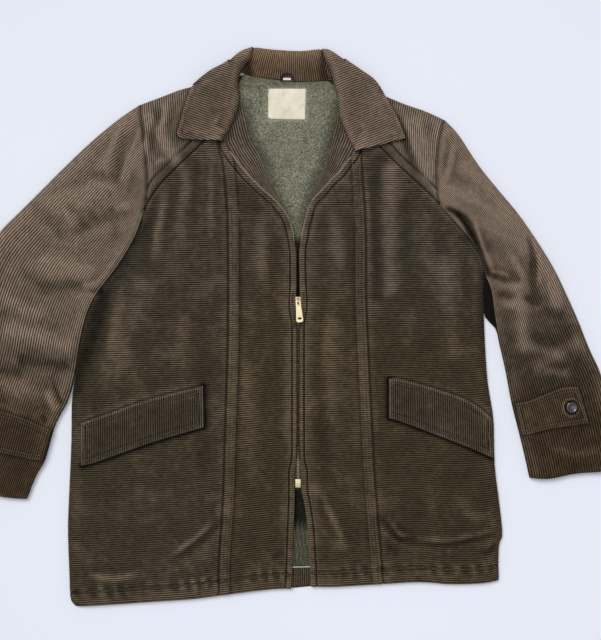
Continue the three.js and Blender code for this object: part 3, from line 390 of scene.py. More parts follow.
def rounded(distance, radius):
    """0 at an edge and 1 once the cloth is `radius` away from it, along a quarter circle."""
    left = 1 - np.minimum(distance, radius) / radius
    return np.sqrt(np.maximum(0, 1 - left * left))


def curve(rows, fine=6):
    """Points on a smooth curve through the rows."""
    p = np.array(rows, float)
    last = len(p) - 1
    t = np.linspace(0, 1, fine, endpoint=False)[:, None]
    made = []
    for i in range(last):
        before, start, end, after = p[max(i - 1, 0)], p[i], p[i + 1], p[min(i + 2, last)]
        v0, v1 = (end - before) / 2, (after - start) / 2
        made.append((2 * start - 2 * end + v0 + v1) * t ** 3 + (3 * end - 3 * start - 2 * v0 - v1) * t ** 2
                    + v0 * t + start)
    return np.vstack([*made, p[-1:]])


def edge(side, *names, fine=6):
    """One curve of a side's named edges, end to end; a name that starts with a minus runs backward."""
    parts = []
    for name in names:
        rows = EDGES[side][name.lstrip("-")]
        made = curve(rows[::-1] if name.startswith("-") else rows, fine)
        parts.append(made[1:] if parts else made)
    return np.vstack(parts)


def by_share(points, shares):
    """Points at shares of a line's length."""
    sums = np.concatenate([[0], np.cumsum(np.hypot(*np.diff(points, axis=0).T))])
    at = np.asarray(shares) * sums[-1]
    return np.stack([np.interp(at, sums, points[:, k]) for k in (0, 1)], -1)


def by_axis(points, axis, shares):
    """Points at shares of the way along an axis, for a line that always moves along it."""
    key = np.maximum.accumulate(points @ np.array(axis, float)) + np.arange(len(points)) * 1e-6
    at = key[0] + np.asarray(shares) * (key[-1] - key[0])
    return np.stack([np.interp(at, key, points[:, k]) for k in (0, 1)], -1)


def offset(points, distance):
    """The line moved to its left by a distance."""
    ahead = np.gradient(points, axis=0)
    ahead /= np.maximum(np.hypot(*ahead.T), 1e-9)[:, None]
    return points + distance * np.stack([-ahead[:, 1], ahead[:, 0]], -1)


def to_segment(points, a, b):
    """Distance to a segment and the share of it that is nearest."""
    along = np.asarray(b, float) - a
    t = np.clip(((points - a) @ along) / max(along @ along, 1e-9), 0, 1)
    away = points - (np.asarray(a) + t[..., None] * along)
    return np.hypot(away[..., 0], away[..., 1]), t


def nearest(points, *lines):
    """Distance from each point to the nearest of the lines."""
    best = np.full(points.shape[:-1], 1e9)
    for line in lines:
        for a, b in zip(line[:-1], line[1:]):
            best = np.minimum(best, to_segment(points, a, b)[0])
    return best


def to_edge(points, side, *names, fine=3):
    """Distance from each point to the nearest of a side's named edges."""
    return nearest(points, *[edge(side, name, fine=fine) for name in names])


def bell(distance, wide):
    """1 at a line, falling to nothing at about twice the half width."""
    return np.exp(-(distance / wide) ** 2)


def ruled(starts, ends, first, last, shares):
    """A net whose rows run from starts to ends; its first and last rows follow those two lines."""
    first, last = by_share(first, shares), by_share(last, shares)
    b = np.asarray(shares)[None, :, None]
    a = np.linspace(0, 1, len(starts))[:, None, None]
    net = (1 - b) * starts[:, None] + b * ends[:, None]
    net = net + (1 - a) * (first[None] - ((1 - b) * first[0] + b * first[-1]))
    return net + a * (last[None] - ((1 - b) * last[0] + b * last[-1]))


def pointed(point):
    """A line of hardly any length, for a net that ends in a point."""
    return point + np.array([[0, 0], [0.001, 0]])


def between(foot, head, at, shares, axis=None):
    """A net whose rows run from foot to head; `at` are places along both, by length or along an axis."""
    starts, ends = (by_share(line, at) if axis is None else by_axis(line, axis, at) for line in (foot, head))
    sides = [np.array([foot[k], head[k]]) for k in (0, -1)]
    return ruled(starts, ends, *sides, shares)


def alongside(first, last, at, shares):
    """A net whose rows follow two lines."""
    starts, ends = (by_share(np.array([first[k], last[k]]), at) for k in (0, -1))
    return ruled(starts, ends, first, last, shares)


def shares_of(length, step, low=(), high=()):
    """Shares of a row: even steps, with closer lines at given distances from its two ends."""
    low = [0.0, *low]
    high = [0.0, *high]
    count = max(2, round((length - low[-1] - high[-1]) / step))
    middle = np.linspace(low[-1], length - high[-1], count + 1)[1:-1]
    return np.concatenate([low, middle, length - np.array(high[::-1])]) / length


# Heights of the laid cloth.

def folds_at(points, lay):
    """Lift of the large folds and of one part's finer creases."""
    lift = np.zeros(points.shape[:-1])
    for start, end, height, wide in FOLDS:
        lift += height * bell(to_segment(points, np.array(start, float), end)[0], wide)
    for path, height, wide in CREASES.get(lay, ()):
        line = curve(path, 4)
        best, share = np.full(lift.shape, 1e9), np.zeros(lift.shape)
        for i, (a, b) in enumerate(zip(line[:-1], line[1:])):
            distance, t = to_segment(points, a, b)
            nearer = distance < best
            best = np.where(nearer, distance, best)
            share = np.where(nearer, (i + t) / (len(line) - 1), share)
        ends = soft(np.minimum(share, 1 - share) / 0.42 + 0.06)
        # Cloth that lies free drops less than it rises, but for the deep hollow at the armhole.
        lift += CREASE_DEPTH * height * (0.6 if -4 < height < 0 else 1) * ends * bell(best, wide)
    return lift


def uneven(points, seed=0.0):
    """The slight unevenness of cloth that lies by itself."""
    x, y = points[..., 0] + seed, points[..., 1] - 2 * seed
    wave = np.sin(x / 19 + np.sin(y / 41) * 1.7) * np.sin(y / 27 + np.sin(x / 37) * 1.3)
    small = np.sin(x / 8.3 + np.sin(y / 13) * 2.1) * np.sin(y / 9.7 + np.sin(x / 11) * 1.9)
    return 0.55 * wave + 0.22 * small


def groove(distance, at, deep, wide=0.9):
    return -deep * bell(distance - at, wide)


def front_body(side, points):
    """Underside and top of the fronts and yokes, without seams or wales."""
    y = points[..., 1]
    foot = rounded(to_edge(points, side, *HEM), 30)
    front = to_edge(points, side, "front")
    roll = rounded(to_edge(points, side, "side", "shoulder"), 18)
    lift = soft((34 - front) / 23) * soft((y + 330) / 70)
    fold = (folds_at(points, "front_" + side) + uneven(points, 7)) * roll * foot
    low = FRONT_REST + roll * (2.1 + 3.2 * foot) + EDGE_LIFT * lift
    thick = 2.4 + (2.0 - 1.4 * lift) * roll
    ripple = 0.7 * np.sin(y / 6.5) * soft((y - 120) / 30) * bell(front, 9)
    top = low + thick + fold + ripple
    return np.minimum(low + np.maximum(fold, 0), top - 1.4), top


def sleeve_body(side, points):
    """Underside and top of a sleeve's upper half, without seams or wales."""
    roll = rounded(to_edge(points, side, "outer", "inner"), 18)
    fold = (folds_at(points, "sleeve_" + side) + 1.3 * uneven(points, 31)) * roll
    low = 4.7 + 2.9 * roll
    top = low + 1.8 + 2.6 * roll + fold
    return np.minimum(low + np.maximum(fold, 0), top - LEAST_WALL), top


def proud(top, per):
    """How far each spot stands above the cloth about 12 mm round it."""
    around = top
    for axis, reach in ((0, 4 * per), (1, 2)):
        pad = [(0, 0), (0, 0)]
        pad[axis] = (reach + 1, reach)
        sums = np.cumsum(np.pad(around, pad, mode="edge"), axis)
        high = np.take(sums, range(2 * reach + 1, sums.shape[axis]), axis)
        low = np.take(sums, range(0, sums.shape[axis] - 2 * reach - 1), axis)
        around = (high - low) / (2 * reach + 1)
    return top - around


# Meshes.

def link(name, mesh):
    made = bpy.data.objects.new(name, mesh)
    bpy.context.scene.collection.objects.link(made)
    return made


def wale_profile(count):
    """Height of a wale from furrow to furrow, at an even count of steps."""
    return np.sin(np.pi * np.arange(count) / count) ** 0.75


def mark(mesh, key, values):
    """Stores a value for each point of a mesh."""
    mesh.attributes.new(key, "FLOAT", "POINT").data.foreach_set("value", values.ravel().astype(np.float32))


def cloth_shell(name, net, under, top, per, wear_and_painted_light, relief=None, olive=0.0):
    """A closed cloth wall whose wales run along the net's rows, with `per` rows to a wale."""
    sizes = bpy.context.scene.jacket_sizes
    rows, columns = net.shape[:2]
    if relief is None:
        relief = sizes.wale_height / MM
        # Spots that stand above the cloth round them are painted paler, partly wear and partly painted highlight, and
        # sunken spots darker with painted shade.
        wear_and_painted_light = wear_and_painted_light + np.clip(0.27 * proud(top, per), -0.24, 0.5)
    whole = np.ones((rows, columns))
    wale = np.tile(wale_profile(per), rows // per + 1)[:rows][:, None] * whole
    high = top + (wale - 1) * relief
    lower = net[::per]
    points = np.concatenate([
        np.concatenate([net, high[..., None]], -1).reshape(-1, 3),
        np.concatenate([lower, under[::per, :, None]], -1).reshape(-1, 3)]) * MM
    count = rows * columns
    a = (np.arange(rows - 1)[:, None] * columns + np.arange(columns - 1)[None]).ravel()
    upper_faces = np.stack([a, a + 1, a + columns + 1, a + columns], -1)
    low_rows = len(lower)
    b = count + (np.arange(low_rows - 1)[:, None] * columns + np.arange(columns - 1)[None]).ravel()
    under_faces = np.stack([b, b + columns, b + columns + 1, b + 1], -1)
    c = np.arange(columns - 1)
    end, low_end = (rows - 1) * columns, count + (low_rows - 1) * columns
    rims = [np.stack([c + 1, c, count + c, count + c + 1], -1),
            np.stack([end + c, end + c + 1, low_end + c + 1, low_end + c], -1)]
    faces = np.concatenate([upper_faces, under_faces, *rims]).tolist()
    for k in range(low_rows - 1):
        uppers = [(k * per + j) * columns for j in range(per + 1)]
        lowers = [count + (k + 1) * columns, count + k * columns]
        faces.append(uppers + lowers)
        faces.append([u + columns - 1 for u in reversed(uppers)] + [v + columns - 1 for v in reversed(lowers)])
    turn = np.cross(net[1:, 1:] - net[:-1, :-1], net[1:, :-1] - net[:-1, 1:]).sum()
    if turn < 0:
        faces = [face[::-1] for face in faces]
    mesh = bpy.data.meshes.new(name)
    mesh.from_pydata(points, [], faces)
    mesh.shade_smooth()
    steps = np.hypot(*np.moveaxis(np.diff(net, axis=1), -1, 0))
    along = np.concatenate([np.zeros((rows, 1)), np.cumsum(steps, 1)], 1)
    across = np.arange(rows)[:, None] / per * sizes.wale_pitch / MM * whole
    uv = np.stack([along, across], -1)
    uv = np.concatenate([uv.reshape(-1, 2), uv[::per].reshape(-1, 2)]) * MM
    corner = np.zeros(len(mesh.loops), np.int32)
    mesh.loops.foreach_get("vertex_index", corner)
    mesh.uv_layers.new(name="cut").data.foreach_set("uv", uv[corner].astype(np.float32).ravel())
    for key, value in (("wale", wale), ("wear_and_painted_light", wear_and_painted_light * whole), ("olive", olive * whole)):
        mark(mesh, key, np.concatenate([value.ravel(), value[::per].ravel()]))
    return link(name, mesh)


def wales_in(length, per):
    """Rows in a net that is this wide across its wales."""
    return max(2, round(length * MM / bpy.context.scene.jacket_sizes.wale_pitch)) * per + 1


def dress(piece, node=None, body="garment"):
    """Says which body a piece rides on and, where it stands for one, its CAD node."""
    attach(piece, body)
    if node:
        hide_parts(node)


def finish_cloth(piece, node, kind):
    """Gives a cloth piece its material, body and CAD node."""
    piece.data.materials.append(material(kind))
    dress(piece, node)


def make_cloth(node, net, under, top, wear_and_painted_light, per=PER, relief=None, olive=0.0, kind="corduroy"):
    """A cloth piece that stands for a CAD node and has its name."""
    piece = cloth_shell(node + "_cloth", net, under, top, per, wear_and_painted_light, relief, olive)
    finish_cloth(piece, node, kind)


# Materials.

def add_node(tree, kind, settings=None, inputs=None):
    """Adds a node with its settings, and its inputs as values or links."""
    made = tree.nodes.new(kind)
    for name, value in (settings or {}).items():
        setattr(made, name, value)
    for name, value in (inputs or {}).items():
        if isinstance(value, bpy.types.NodeSocket):
            tree.links.new(value, made.inputs[name])
        else:
            made.inputs[name].default_value = value
    return made


def new_material(name, roughness, constants=None):
    """An empty material with its shader; the constants are set on the shader's own sockets."""
    made = bpy.data.materials.new(name)
    made.use_nodes = True
    tree = made.node_tree
    tree.nodes.clear()
    shader = add_node(tree, "ShaderNodeBsdfPrincipled", inputs={"Roughness": roughness})
    for key, value in (constants or {}).items():
        shader.inputs[key].default_value = value
    add_node(tree, "ShaderNodeOutputMaterial", inputs={"Surface": shader.outputs[0]})
    return made, tree, shader


def mixed(tree, factor, a, b, blend="MIX"):
    made = add_node(tree, "ShaderNodeMix", {"data_type": "RGBA", "blend_type": blend, "clamp_factor": True},
                    {0: factor, 6: a, 7: b})
    return made.outputs[2]


def sum_of(tree, operation, a, b=0.0, c=0.0):
    made = add_node(tree, "ShaderNodeMath", {"operation": operation}, {0: a, 1: b})
    if operation == "MULTIPLY_ADD":
        made.inputs[2].default_value = c
    return made.outputs[0]


def noise_of(tree, vector, scale, detail=2.0, rough=0.5):
    made = add_node(tree, "ShaderNodeTexNoise", {"noise_dimensions": "3D"},
                    {"Vector": vector, "Scale": scale, "Detail": detail, "Roughness": rough})
    return made.outputs[0]


def rgba(colour):
    return (*colour, 1.0)


def attribute_of(tree, name):
    return add_node(tree, "ShaderNodeAttribute", {"attribute_name": name}).outputs["Fac"]


def place_of(tree):
    return add_node(tree, "ShaderNodeTexCoord").outputs["Object"]


def varied(tree, value, noise, share):
    """The value, moved up and down by a noise."""
    return sum_of(tree, "ADD", value, sum_of(tree, "MULTIPLY_ADD", noise, share, -share / 2))


def stepped(tree, value, low, high):
    """A soft step from low to high."""
    made = add_node(tree, "ShaderNodeMapRange", {"interpolation_type": "SMOOTHSTEP"},
                    {"Value": value, "From Min": low, "From Max": high})
    return made.outputs[0]


def dimmed(colour, share):
    return tuple(min(1.0, c * share) for c in colour)


def paint(tree, shader, colour, strength=0.0, distance=0.0, height=None):
    """Links a colour to the shader and, where there is one, a height to its normal."""
    tree.links.new(colour, shader.inputs["Base Color"])
    if height is not None:
        bump = add_node(tree, "ShaderNodeBump", inputs={"Strength": strength, "Distance": distance, "Height": height})
        tree.links.new(bump.outputs[0], shader.inputs["Normal"])


def two_tone(name, roughness, constants, scale, detail, dark, pale):
    """A material in two tones that change in soft patches."""
    made, tree, shader = new_material(name, roughness, constants)
    patch = noise_of(tree, place_of(tree), scale, detail)
    paint(tree, shader, mixed(tree, patch, rgba(dark), rgba(pale)))
    return made, tree, shader, patch


def corduroy(colours):
    """Wide-wale cotton corduroy: cut pile in ridges that catch the light, worn paler on the crests."""
    made, tree, shader = new_material(
        "wide-wale cotton corduroy", 0.92, {
            "Sheen Weight": 0.1, "Sheen Roughness": 0.45, "Sheen Tint": rgba(linear("#c4ae96")),
            "Specular IOR Level": 0.12})
    wale, wear_and_painted_light, olive = (attribute_of(tree, name) for name in ("wale", "wear_and_painted_light", "olive"))
    place = place_of(tree)
    cut = add_node(tree, "ShaderNodeUVMap", {"uv_map": "cut"}).outputs[0]
    # Blotches 40 mm and 9 mm across, where the nap lies another way.
    blotch, fleck = noise_of(tree, place, 25, 3), noise_of(tree, place, 110, 2)
    # Each wale differs a little, and changes every 8 mm along its length.
    strand, fuzz = (noise_of(tree, add_node(tree, "ShaderNodeMapping", inputs={
        "Vector": cut, "Scale": scale}).outputs[0], 1.0, 2) for scale in ((130, 310, 1), (500, 900, 1)))
    # Wear, painted highlight and painted shade from the mark, varied in blotches and flecks.
    worn = varied(tree, varied(tree, wear_and_painted_light, blotch, 0.6), fleck, 0.4)
    crest = mixed(tree, worn, rgba(colours.crest_dark), rgba(colours.crest_worn))
    furrow = mixed(tree, worn, rgba(colours.furrow_dark), rgba(colours.furrow_worn))
    lit = varied(tree, varied(tree, wale, strand, 0.5), fuzz, 0.5)
    # Furrows are painted darker than crests: partly the pile's own tone, partly painted shade down in the furrows.
    colour = mixed(tree, stepped(tree, lit, 0.4, 1.15), furrow, crest)
    # Below zero the colour darkens toward near-black: dark seams, and painted shade at the foot of folds, in hollows
    # and beside raised parts; centre panels have faded toward olive and cuffs toward brown.
    colour = mixed(tree, sum_of(tree, "MULTIPLY", worn, -1.3), colour, rgba(linear("#100c08")))
    colour = mixed(tree, olive, colour, rgba(linear("#fffae6")), "MULTIPLY")
    brown = sum_of(tree, "MULTIPLY", olive, -1.0)
    paint(tree, shader, mixed(tree, brown, colour, rgba(linear("#ffe9d0")), "MULTIPLY"), 0.5, 0.0004, fuzz)
    return made


def pile(colours):
    """Curled acrylic pile on a knitted back: matt, with dark depths between its pale tips."""
    made, tree, shader = new_material(
        "curled acrylic pile", 1.0, {
            "Sheen Weight": 0.35, "Sheen Roughness": 0.6, "Sheen Tint": rgba(linear("#b9bfa6")),
            "Specular IOR Level": 0.05})
    place, painted_shade_and_streaks = place_of(tree), attribute_of(tree, "wear_and_painted_light")
    curl, patch = noise_of(tree, place, 420, 2, 0.6), noise_of(tree, place, 60, 2)
    depth = sum_of(tree, "ADD", varied(tree, curl, patch, 0.3), painted_shade_and_streaks)
    colour = mixed(tree, stepped(tree, depth, 0.1, 0.75), rgba(colours.pile_dark), rgba(colours.pile_light))
    # Where the mark is below zero the pile darkens toward near-black: painted shade.
    colour = mixed(tree, sum_of(tree, "MULTIPLY", painted_shade_and_streaks, -1.5), colour, rgba(linear("#0d0d08")))
    paint(tree, shader, colour, 0.8, 0.0012, curl)
    return made


def woven(name, colour_a, colour_b, threads_per_metre, roughness=0.85):
    """A plain woven cloth: two sets of threads over and under each other."""
    made, tree, shader = new_material(name, roughness, {"Specular IOR Level": 0.25, "Sheen Weight": 0.1})
    place = place_of(tree)
    heights = []
    for turn in (0, math.pi / 2):
        turned = add_node(tree, "ShaderNodeMapping", inputs={"Vector": place, "Rotation": (0, 0, turn)})
        wave = add_node(tree, "ShaderNodeTexWave", {"wave_type": "BANDS", "bands_direction": "X"},
                        {"Vector": turned.outputs[0], "Scale": threads_per_metre / 20, "Distortion": 0.6,
                         "Detail": 1.0})
        heights.append(wave.outputs["Fac"])
    height = sum_of(tree, "MULTIPLY", *heights)
    stain = sum_of(tree, "MULTIPLY_ADD", noise_of(tree, place, 70, 4), 1.8, -0.2)
    share = sum_of(tree, "ADD", sum_of(tree, "MULTIPLY", height, 0.15), stain)
    paint(tree, shader, mixed(tree, share, rgba(colour_b), rgba(colour_a)), 0.35, 0.0002, height)
    return made


def brass(colours, name="stamped brass, worn", bright=1.0):
    """Stamped zip brass, tumbled and worn pale, with fine scratches and dull patches."""
    pale = dimmed(colours.brass, bright)
    made, tree, shader, patch = two_tone(name, 0.35, {"Metallic": 1.0}, 380, 4, dimmed(pale, 0.62), pale)
    rough = add_node(tree, "ShaderNodeMapRange", inputs={"Value": patch, "To Min": 0.24, "To Max": 0.5})
    tree.links.new(rough.outputs[0], shader.inputs["Roughness"])
    return made


def resin(colours):
    """Cast polyester resin: glossy, with a faint cloudy marble in it."""
    return two_tone("cast polyester resin", 0.22, {"IOR": 1.55, "Coat Weight": 0.3, "Coat Roughness": 0.1},
                    260, 3, colours.button, dimmed(colours.button, 2.3))[0]


def spun_thread(colours):
    """Three-ply polyester thread, with a soft sheen."""
    return two_tone("three-ply polyester thread", 0.75, {"Sheen Weight": 0.2},
                    300, 2, dimmed(colours.thread, 0.55), colours.thread)[0]


def pale_paper(colours):
    """Matt white background paper."""
    return two_tone("matt background paper", 0.95, {"Specular IOR Level": 0.1},
                    1.4, 2, dimmed(colours.floor, 0.95), colours.floor)[0]


MATERIAL_MAKERS = {
    "corduroy": corduroy,
    "pile": pile,
    "piping": lambda c: woven("cotton bias edging", linear("#bdb8a2"), linear("#8f8a75"), 1500),
    "tape": lambda c: woven("polyester zip tape", linear("#463c31"), linear("#2a231b"), 1600),
    "loop": lambda c: woven("cotton twill strip", linear("#2a2228"), linear("#171217"), 1500),
    "label": lambda c: woven("woven satin label", tuple(c.label), linear("#cdbf9f"), 1300, 0.7),
    "brass": brass,
    "slider": lambda c: brass(c, "stamped brass, dulled", 0.6),
    # The teeth are a darker copy of the brass: partly tarnish, partly painted shade.
    "teeth": lambda c: brass(c, "stamped brass, tarnished_and_shaded", 0.42),
    "resin": resin,
    "thread": spun_thread,
    "paper": pale_paper,
}


def material(kind):
    """The material of a kind, made on its first use."""
    key = "jacket_" + kind
    found = bpy.context.scene.get(key)
    if found is None:
        made = MATERIAL_MAKERS[kind](bpy.context.scene.jacket_colours)
        bpy.context.scene[key] = made.name
        return made
    return bpy.data.materials[found]


# Node trees for what repeats.

def start_tree(name, sizes):
    """A geometry tree with a named length input for each size."""
    tree = bpy.data.node_groups.new(name, "GeometryNodeTree")
    tree.interface.new_socket("Geometry", in_out="INPUT", socket_type="NodeSocketGeometry")
    for label in sizes:
        tree.interface.new_socket(label, in_out="INPUT", socket_type="NodeSocketFloat")
    tree.interface.new_socket("Geometry", in_out="OUTPUT", socket_type="NodeSocketGeometry")
    return tree, add_node(tree, "NodeGroupInput")


def end_tree(tree, geometry, finish):
    real = add_node(tree, "GeometryNodeRealizeInstances", inputs={"Geometry": geometry})
    painted = add_node(tree, "GeometryNodeSetMaterial", inputs={"Geometry": real.outputs[0], "Material": finish})
    add_node(tree, "NodeGroupOutput", inputs={0: painted.outputs[0]})


def row_tree(name, finish, shape):
    """Small shapes along lines: each is `Length` long, `Width` wide and `Height` high, `Pitch` apart."""
    tree, given = start_tree(name, ("Pitch", "Length", "Width", "Height"))
    lines = add_node(tree, "GeometryNodeMeshToCurve", inputs={"Mesh": given.outputs["Geometry"]})
    spots = add_node(tree, "GeometryNodeCurveToPoints", {"mode": "LENGTH"},
                     {"Curve": lines.outputs[0], "Length": given.outputs["Pitch"]})
    ahead = add_node(tree, "FunctionNodeAlignRotationToVector", {"axis": "X"}, {"Vector": spots.outputs["Tangent"]})
    size = add_node(tree, "ShaderNodeCombineXYZ", inputs={
        "X": given.outputs["Length"], "Y": given.outputs["Width"], "Z": given.outputs["Height"]})
    if shape == "round":
        body = add_node(tree, "GeometryNodeMeshUVSphere", inputs={"Segments": 5, "Rings": 4, "Radius": 0.5})
    else:
        body = add_node(tree, "GeometryNodeMeshCube", inputs={"Size": (1, 1, 1)})
    placed = add_node(tree, "GeometryNodeInstanceOnPoints", inputs={
        "Points": spots.outputs["Points"], "Instance": body.outputs["Mesh"],
        "Rotation": ahead.outputs[0], "Scale": size.outputs[0]})
    end_tree(tree, placed.outputs[0], finish)
    return tree


def tuft_tree(name, finish):
    """Curls of pile over a surface where its `pile` attribute is 1."""
    tree, given = start_tree(name, ("Per square metre", "Length"))
    share = add_node(tree, "GeometryNodeInputNamedAttribute", {"data_type": "FLOAT"}, {"Name": "pile"})
    dense = add_node(tree, "ShaderNodeMath", {"operation": "MULTIPLY"},
                     {0: share.outputs[0], 1: given.outputs["Per square metre"]})
    spots = add_node(tree, "GeometryNodeDistributePointsOnFaces", inputs={
        "Mesh": given.outputs["Geometry"], "Density": dense.outputs[0], "Seed": 11})
    lean = add_node(tree, "FunctionNodeRandomValue", {"data_type": "FLOAT_VECTOR"},
                    {0: (-1.1, -1.1, -3.1), 1: (1.1, 1.1, 3.1), "Seed": 5})
    size = add_node(tree, "FunctionNodeRandomValue", {"data_type": "FLOAT"}, {2: 0.6, 3: 1.25, "Seed": 8})
    scale = add_node(tree, "ShaderNodeMath", {"operation": "MULTIPLY"},
                     {0: size.outputs[1], 1: given.outputs["Length"]})
    cone = add_node(tree, "GeometryNodeMeshCone", {"fill_type": "TRIANGLE_FAN"}, {
        "Vertices": 3, "Radius Top": 0.05, "Radius Bottom": 0.24, "Depth": 1.0})
    placed = add_node(tree, "GeometryNodeInstanceOnPoints", inputs={
        "Points": spots.outputs["Points"], "Instance": cone.outputs["Mesh"],
        "Rotation": lean.outputs[0], "Scale": scale.outputs[0]})
    end_tree(tree, placed.outputs[0], finish)
    return tree


def run_tree(source, tree, sizes, name):
    """Runs a tree on an object and keeps the result as a plain mesh; the object itself goes."""
    modifier = source.modifiers.new(name, "NODES")
    modifier.node_group = tree
    for item in tree.interface.items_tree:
        if item.in_out == "INPUT" and item.name in sizes:
            modifier[item.identifier] = float(sizes[item.name])
    bpy.context.view_layer.update()
    graph = bpy.context.evaluated_depsgraph_get()
    mesh = bpy.data.meshes.new_from_object(source.evaluated_get(graph))
    source.modifiers.remove(modifier)
    made = link(name, mesh)
    bpy.data.objects.remove(source)
    return made


def lines_object(name, lines):
    """One mesh of open lines, each a list of points in millimetres."""
    points, edges = [], []
    for line in lines:
        start = len(points)
        points.extend(line)
        edges.extend((start + i, start + i + 1) for i in range(len(line) - 1))
    mesh = bpy.data.meshes.new(name)
    mesh.from_pydata(np.array(points) * MM, edges, [])
    return link(name, mesh)


def sew(name, lines):
    """Topstitches along lines that lie on the cloth."""
    sizes = bpy.context.scene.jacket_sizes
    tree = row_tree(name + "_rows", material("thread"), "round")
    made = run_tree(lines_object(name + "_lines", lines), tree, {
        "Pitch": sizes.stitch_pitch, "Length": sizes.stitch_length,
        "Width": sizes.thread_width, "Height": sizes.thread_width}, name)
    dress(made)


def on_top(side, line, heights):
    """A line's points laid on a surface, sunk into it a little."""
    points = np.asarray(line)
    return np.concatenate([points, (heights(side, points) - 0.05)[:, None]], -1)


# The pieces.

def hemmed(side, points):
    """What the turned, stitched and puckered hem adds to the height of a front."""
    hem = to_edge(points, side, *HEM)
    x = points[..., 0] + 0.25 * points[..., 1]
    wave = np.sin(x / 3.1 + 1.6 * np.sin(x / 17)) * (0.55 + 0.45 * np.sin(x / 21))
    return groove(hem, HEM_STITCH, 2.4, 1.6) - 1.6 * (1 - rounded(hem, 4)) + 2.3 * wave * bell(hem - HEM_STITCH, 7.5)


def front_sewn(side, points):
    """Top of a front centre panel with its stitched band along the seam and the strip at its edge."""
    seam, front = to_edge(points, side, "princess"), to_edge(points, side, "front")
    top = front_body(side, points)[1] + hemmed(side, points)
    top += 1.1 * soft((16 - seam) / 1.8) + sum(groove(seam, at, 1.1) for at in BAND_STITCHES)
    top += groove(seam, 0, 2.8, 1.7) + groove(seam, BAND_EDGE, 0.8, 1.2)
    top += bell(front - 4.4, 2.8) + groove(front, STRIP_FOLD, 2.6, 1.2) - 1.2 * (1 - rounded(front, 2.0))
    # The strips lie flat under the zip's pull tab.
    x, y = np.abs(points[..., 0] - ZIP_X), points[..., 1]
    under_pull = soft((12 - x) / 3) * soft(y / 6) * soft((58 - y) / 6)
    return np.maximum(top - np.maximum(top - PULL_CLEAR, 0) * under_pull, FRONT_LEAST)


def side_sewn(side, points):
    """Top of a front side panel with its seams."""
    seam, yoke, arm = (to_edge(points, side, name) for name in ("princess", "yoke_seam", "arm_low"))
    top = front_body(side, points)[1] + hemmed(side, points)
    top += groove(seam, 0, 2.6, 2.0) + groove(yoke, 0, 2.4, 2.0)
    return np.maximum(top + groove(arm, 0, 3.2, 3.4) + groove(arm, ARM_STITCH, 1.0), FRONT_LEAST)


def yoke_sewn(side, points):
    """Top of a yoke, whose lower edge is lapped over the front and stitched twice."""
    seam, arm = to_edge(points, side, "yoke_seam"), to_edge(points, side, "arm_top")
    top = front_body(side, points)[1] + 1.3 * soft((12 - seam) / 1.8)
    top += groove(seam, 2.8, 1.3) + groove(seam, 9.4, 1.3) + groove(seam, LAP_EDGE, 1.8, 1.5)
    return np.maximum(top + groove(seam, 0, 1.4, 1.1) + groove(arm, 0, 2.8, 3.0), FRONT_LEAST)


def outline_of(side, foot, head):
    """The four edges of a flap or tab."""
    low, high = curve(EDGES[side][foot], 3), curve(EDGES[side][head], 3)
    return [low, high, np.array([low[0], high[0]]), np.array([low[-1], high[-1]])]


def fold_wear_and_light(points, lay):
    """Crests of folds are paler, partly wear and partly painted highlight; troughs and the listed hollows are darker
    with painted shade.
    """
    wear_and_painted_light = np.clip(folds_at(points, lay) * 0.06, -0.12, 0.34)
    for path, share, wide in HOLLOWS.get(lay, ()):
        wear_and_painted_light -= share * bell(nearest(points, curve(path, 4)), wide)
    return wear_and_painted_light


def make_front_side(side):
    """A front side panel, from the side seam to the panel seam."""
    left = side == "left"
    seam, out = edge(side, "princess"), edge(side, "side", "arm_low", "yoke_seam")
    at = np.linspace(0, 1, wales_in(out[-1, 1] - out[0, 1], PER))
    shares = shares_of(215, 5, low=(0.6, 1.6, 3.2, 5.5, 8.5, 12.5), high=(0.8, 1.8, 3.6))
    net = ruled(by_axis(out, UP, at), by_axis(seam, UP, at), edge(side, "hem_side"), pointed(out[-1]), shares)
    top = side_sewn(side, net)
    low = soft((90 - net[..., 1]) / 120)
    wear_and_painted_light = 0.04 - (0.05 if left else 0.11) * low + fold_wear_and_light(net, "front_" + side)
    wear_and_painted_light += 0.3 * bell(to_edge(net, side, "side", *HEM), 1.6) + 0.2 * bell(to_edge(net, side, "shoulder", fine=2), 100)
    wear_and_painted_light -= 0.3 * bell(to_edge(net, side, *HEM) - HEM_STITCH, 1.6)
    # Shade beside the flap's free edges, and wear where its seam rubs.
    foot, head, *ends = outline_of(side, "flap_bottom", "flap_top")
    wear_and_painted_light -= 0.95 * bell(nearest(net, foot, ends[1 if left else 0]), 4.6) + 0.35 * bell(nearest(net, head), 3.2)
    wear_and_painted_light += 0.2 * bell(nearest(net - np.array([0.0, 5.0]), head), 4)
    wear_and_painted_light -= 0.2 * bell(to_edge(net, side, "princess", "yoke_seam"), 1.8)
    make_cloth(f"front_side_{side}", net, np.minimum(front_body(side, net)[0], top - LEAST_WALL), top,
               wear_and_painted_light, olive=(0.6 if left else 1.0) * low)


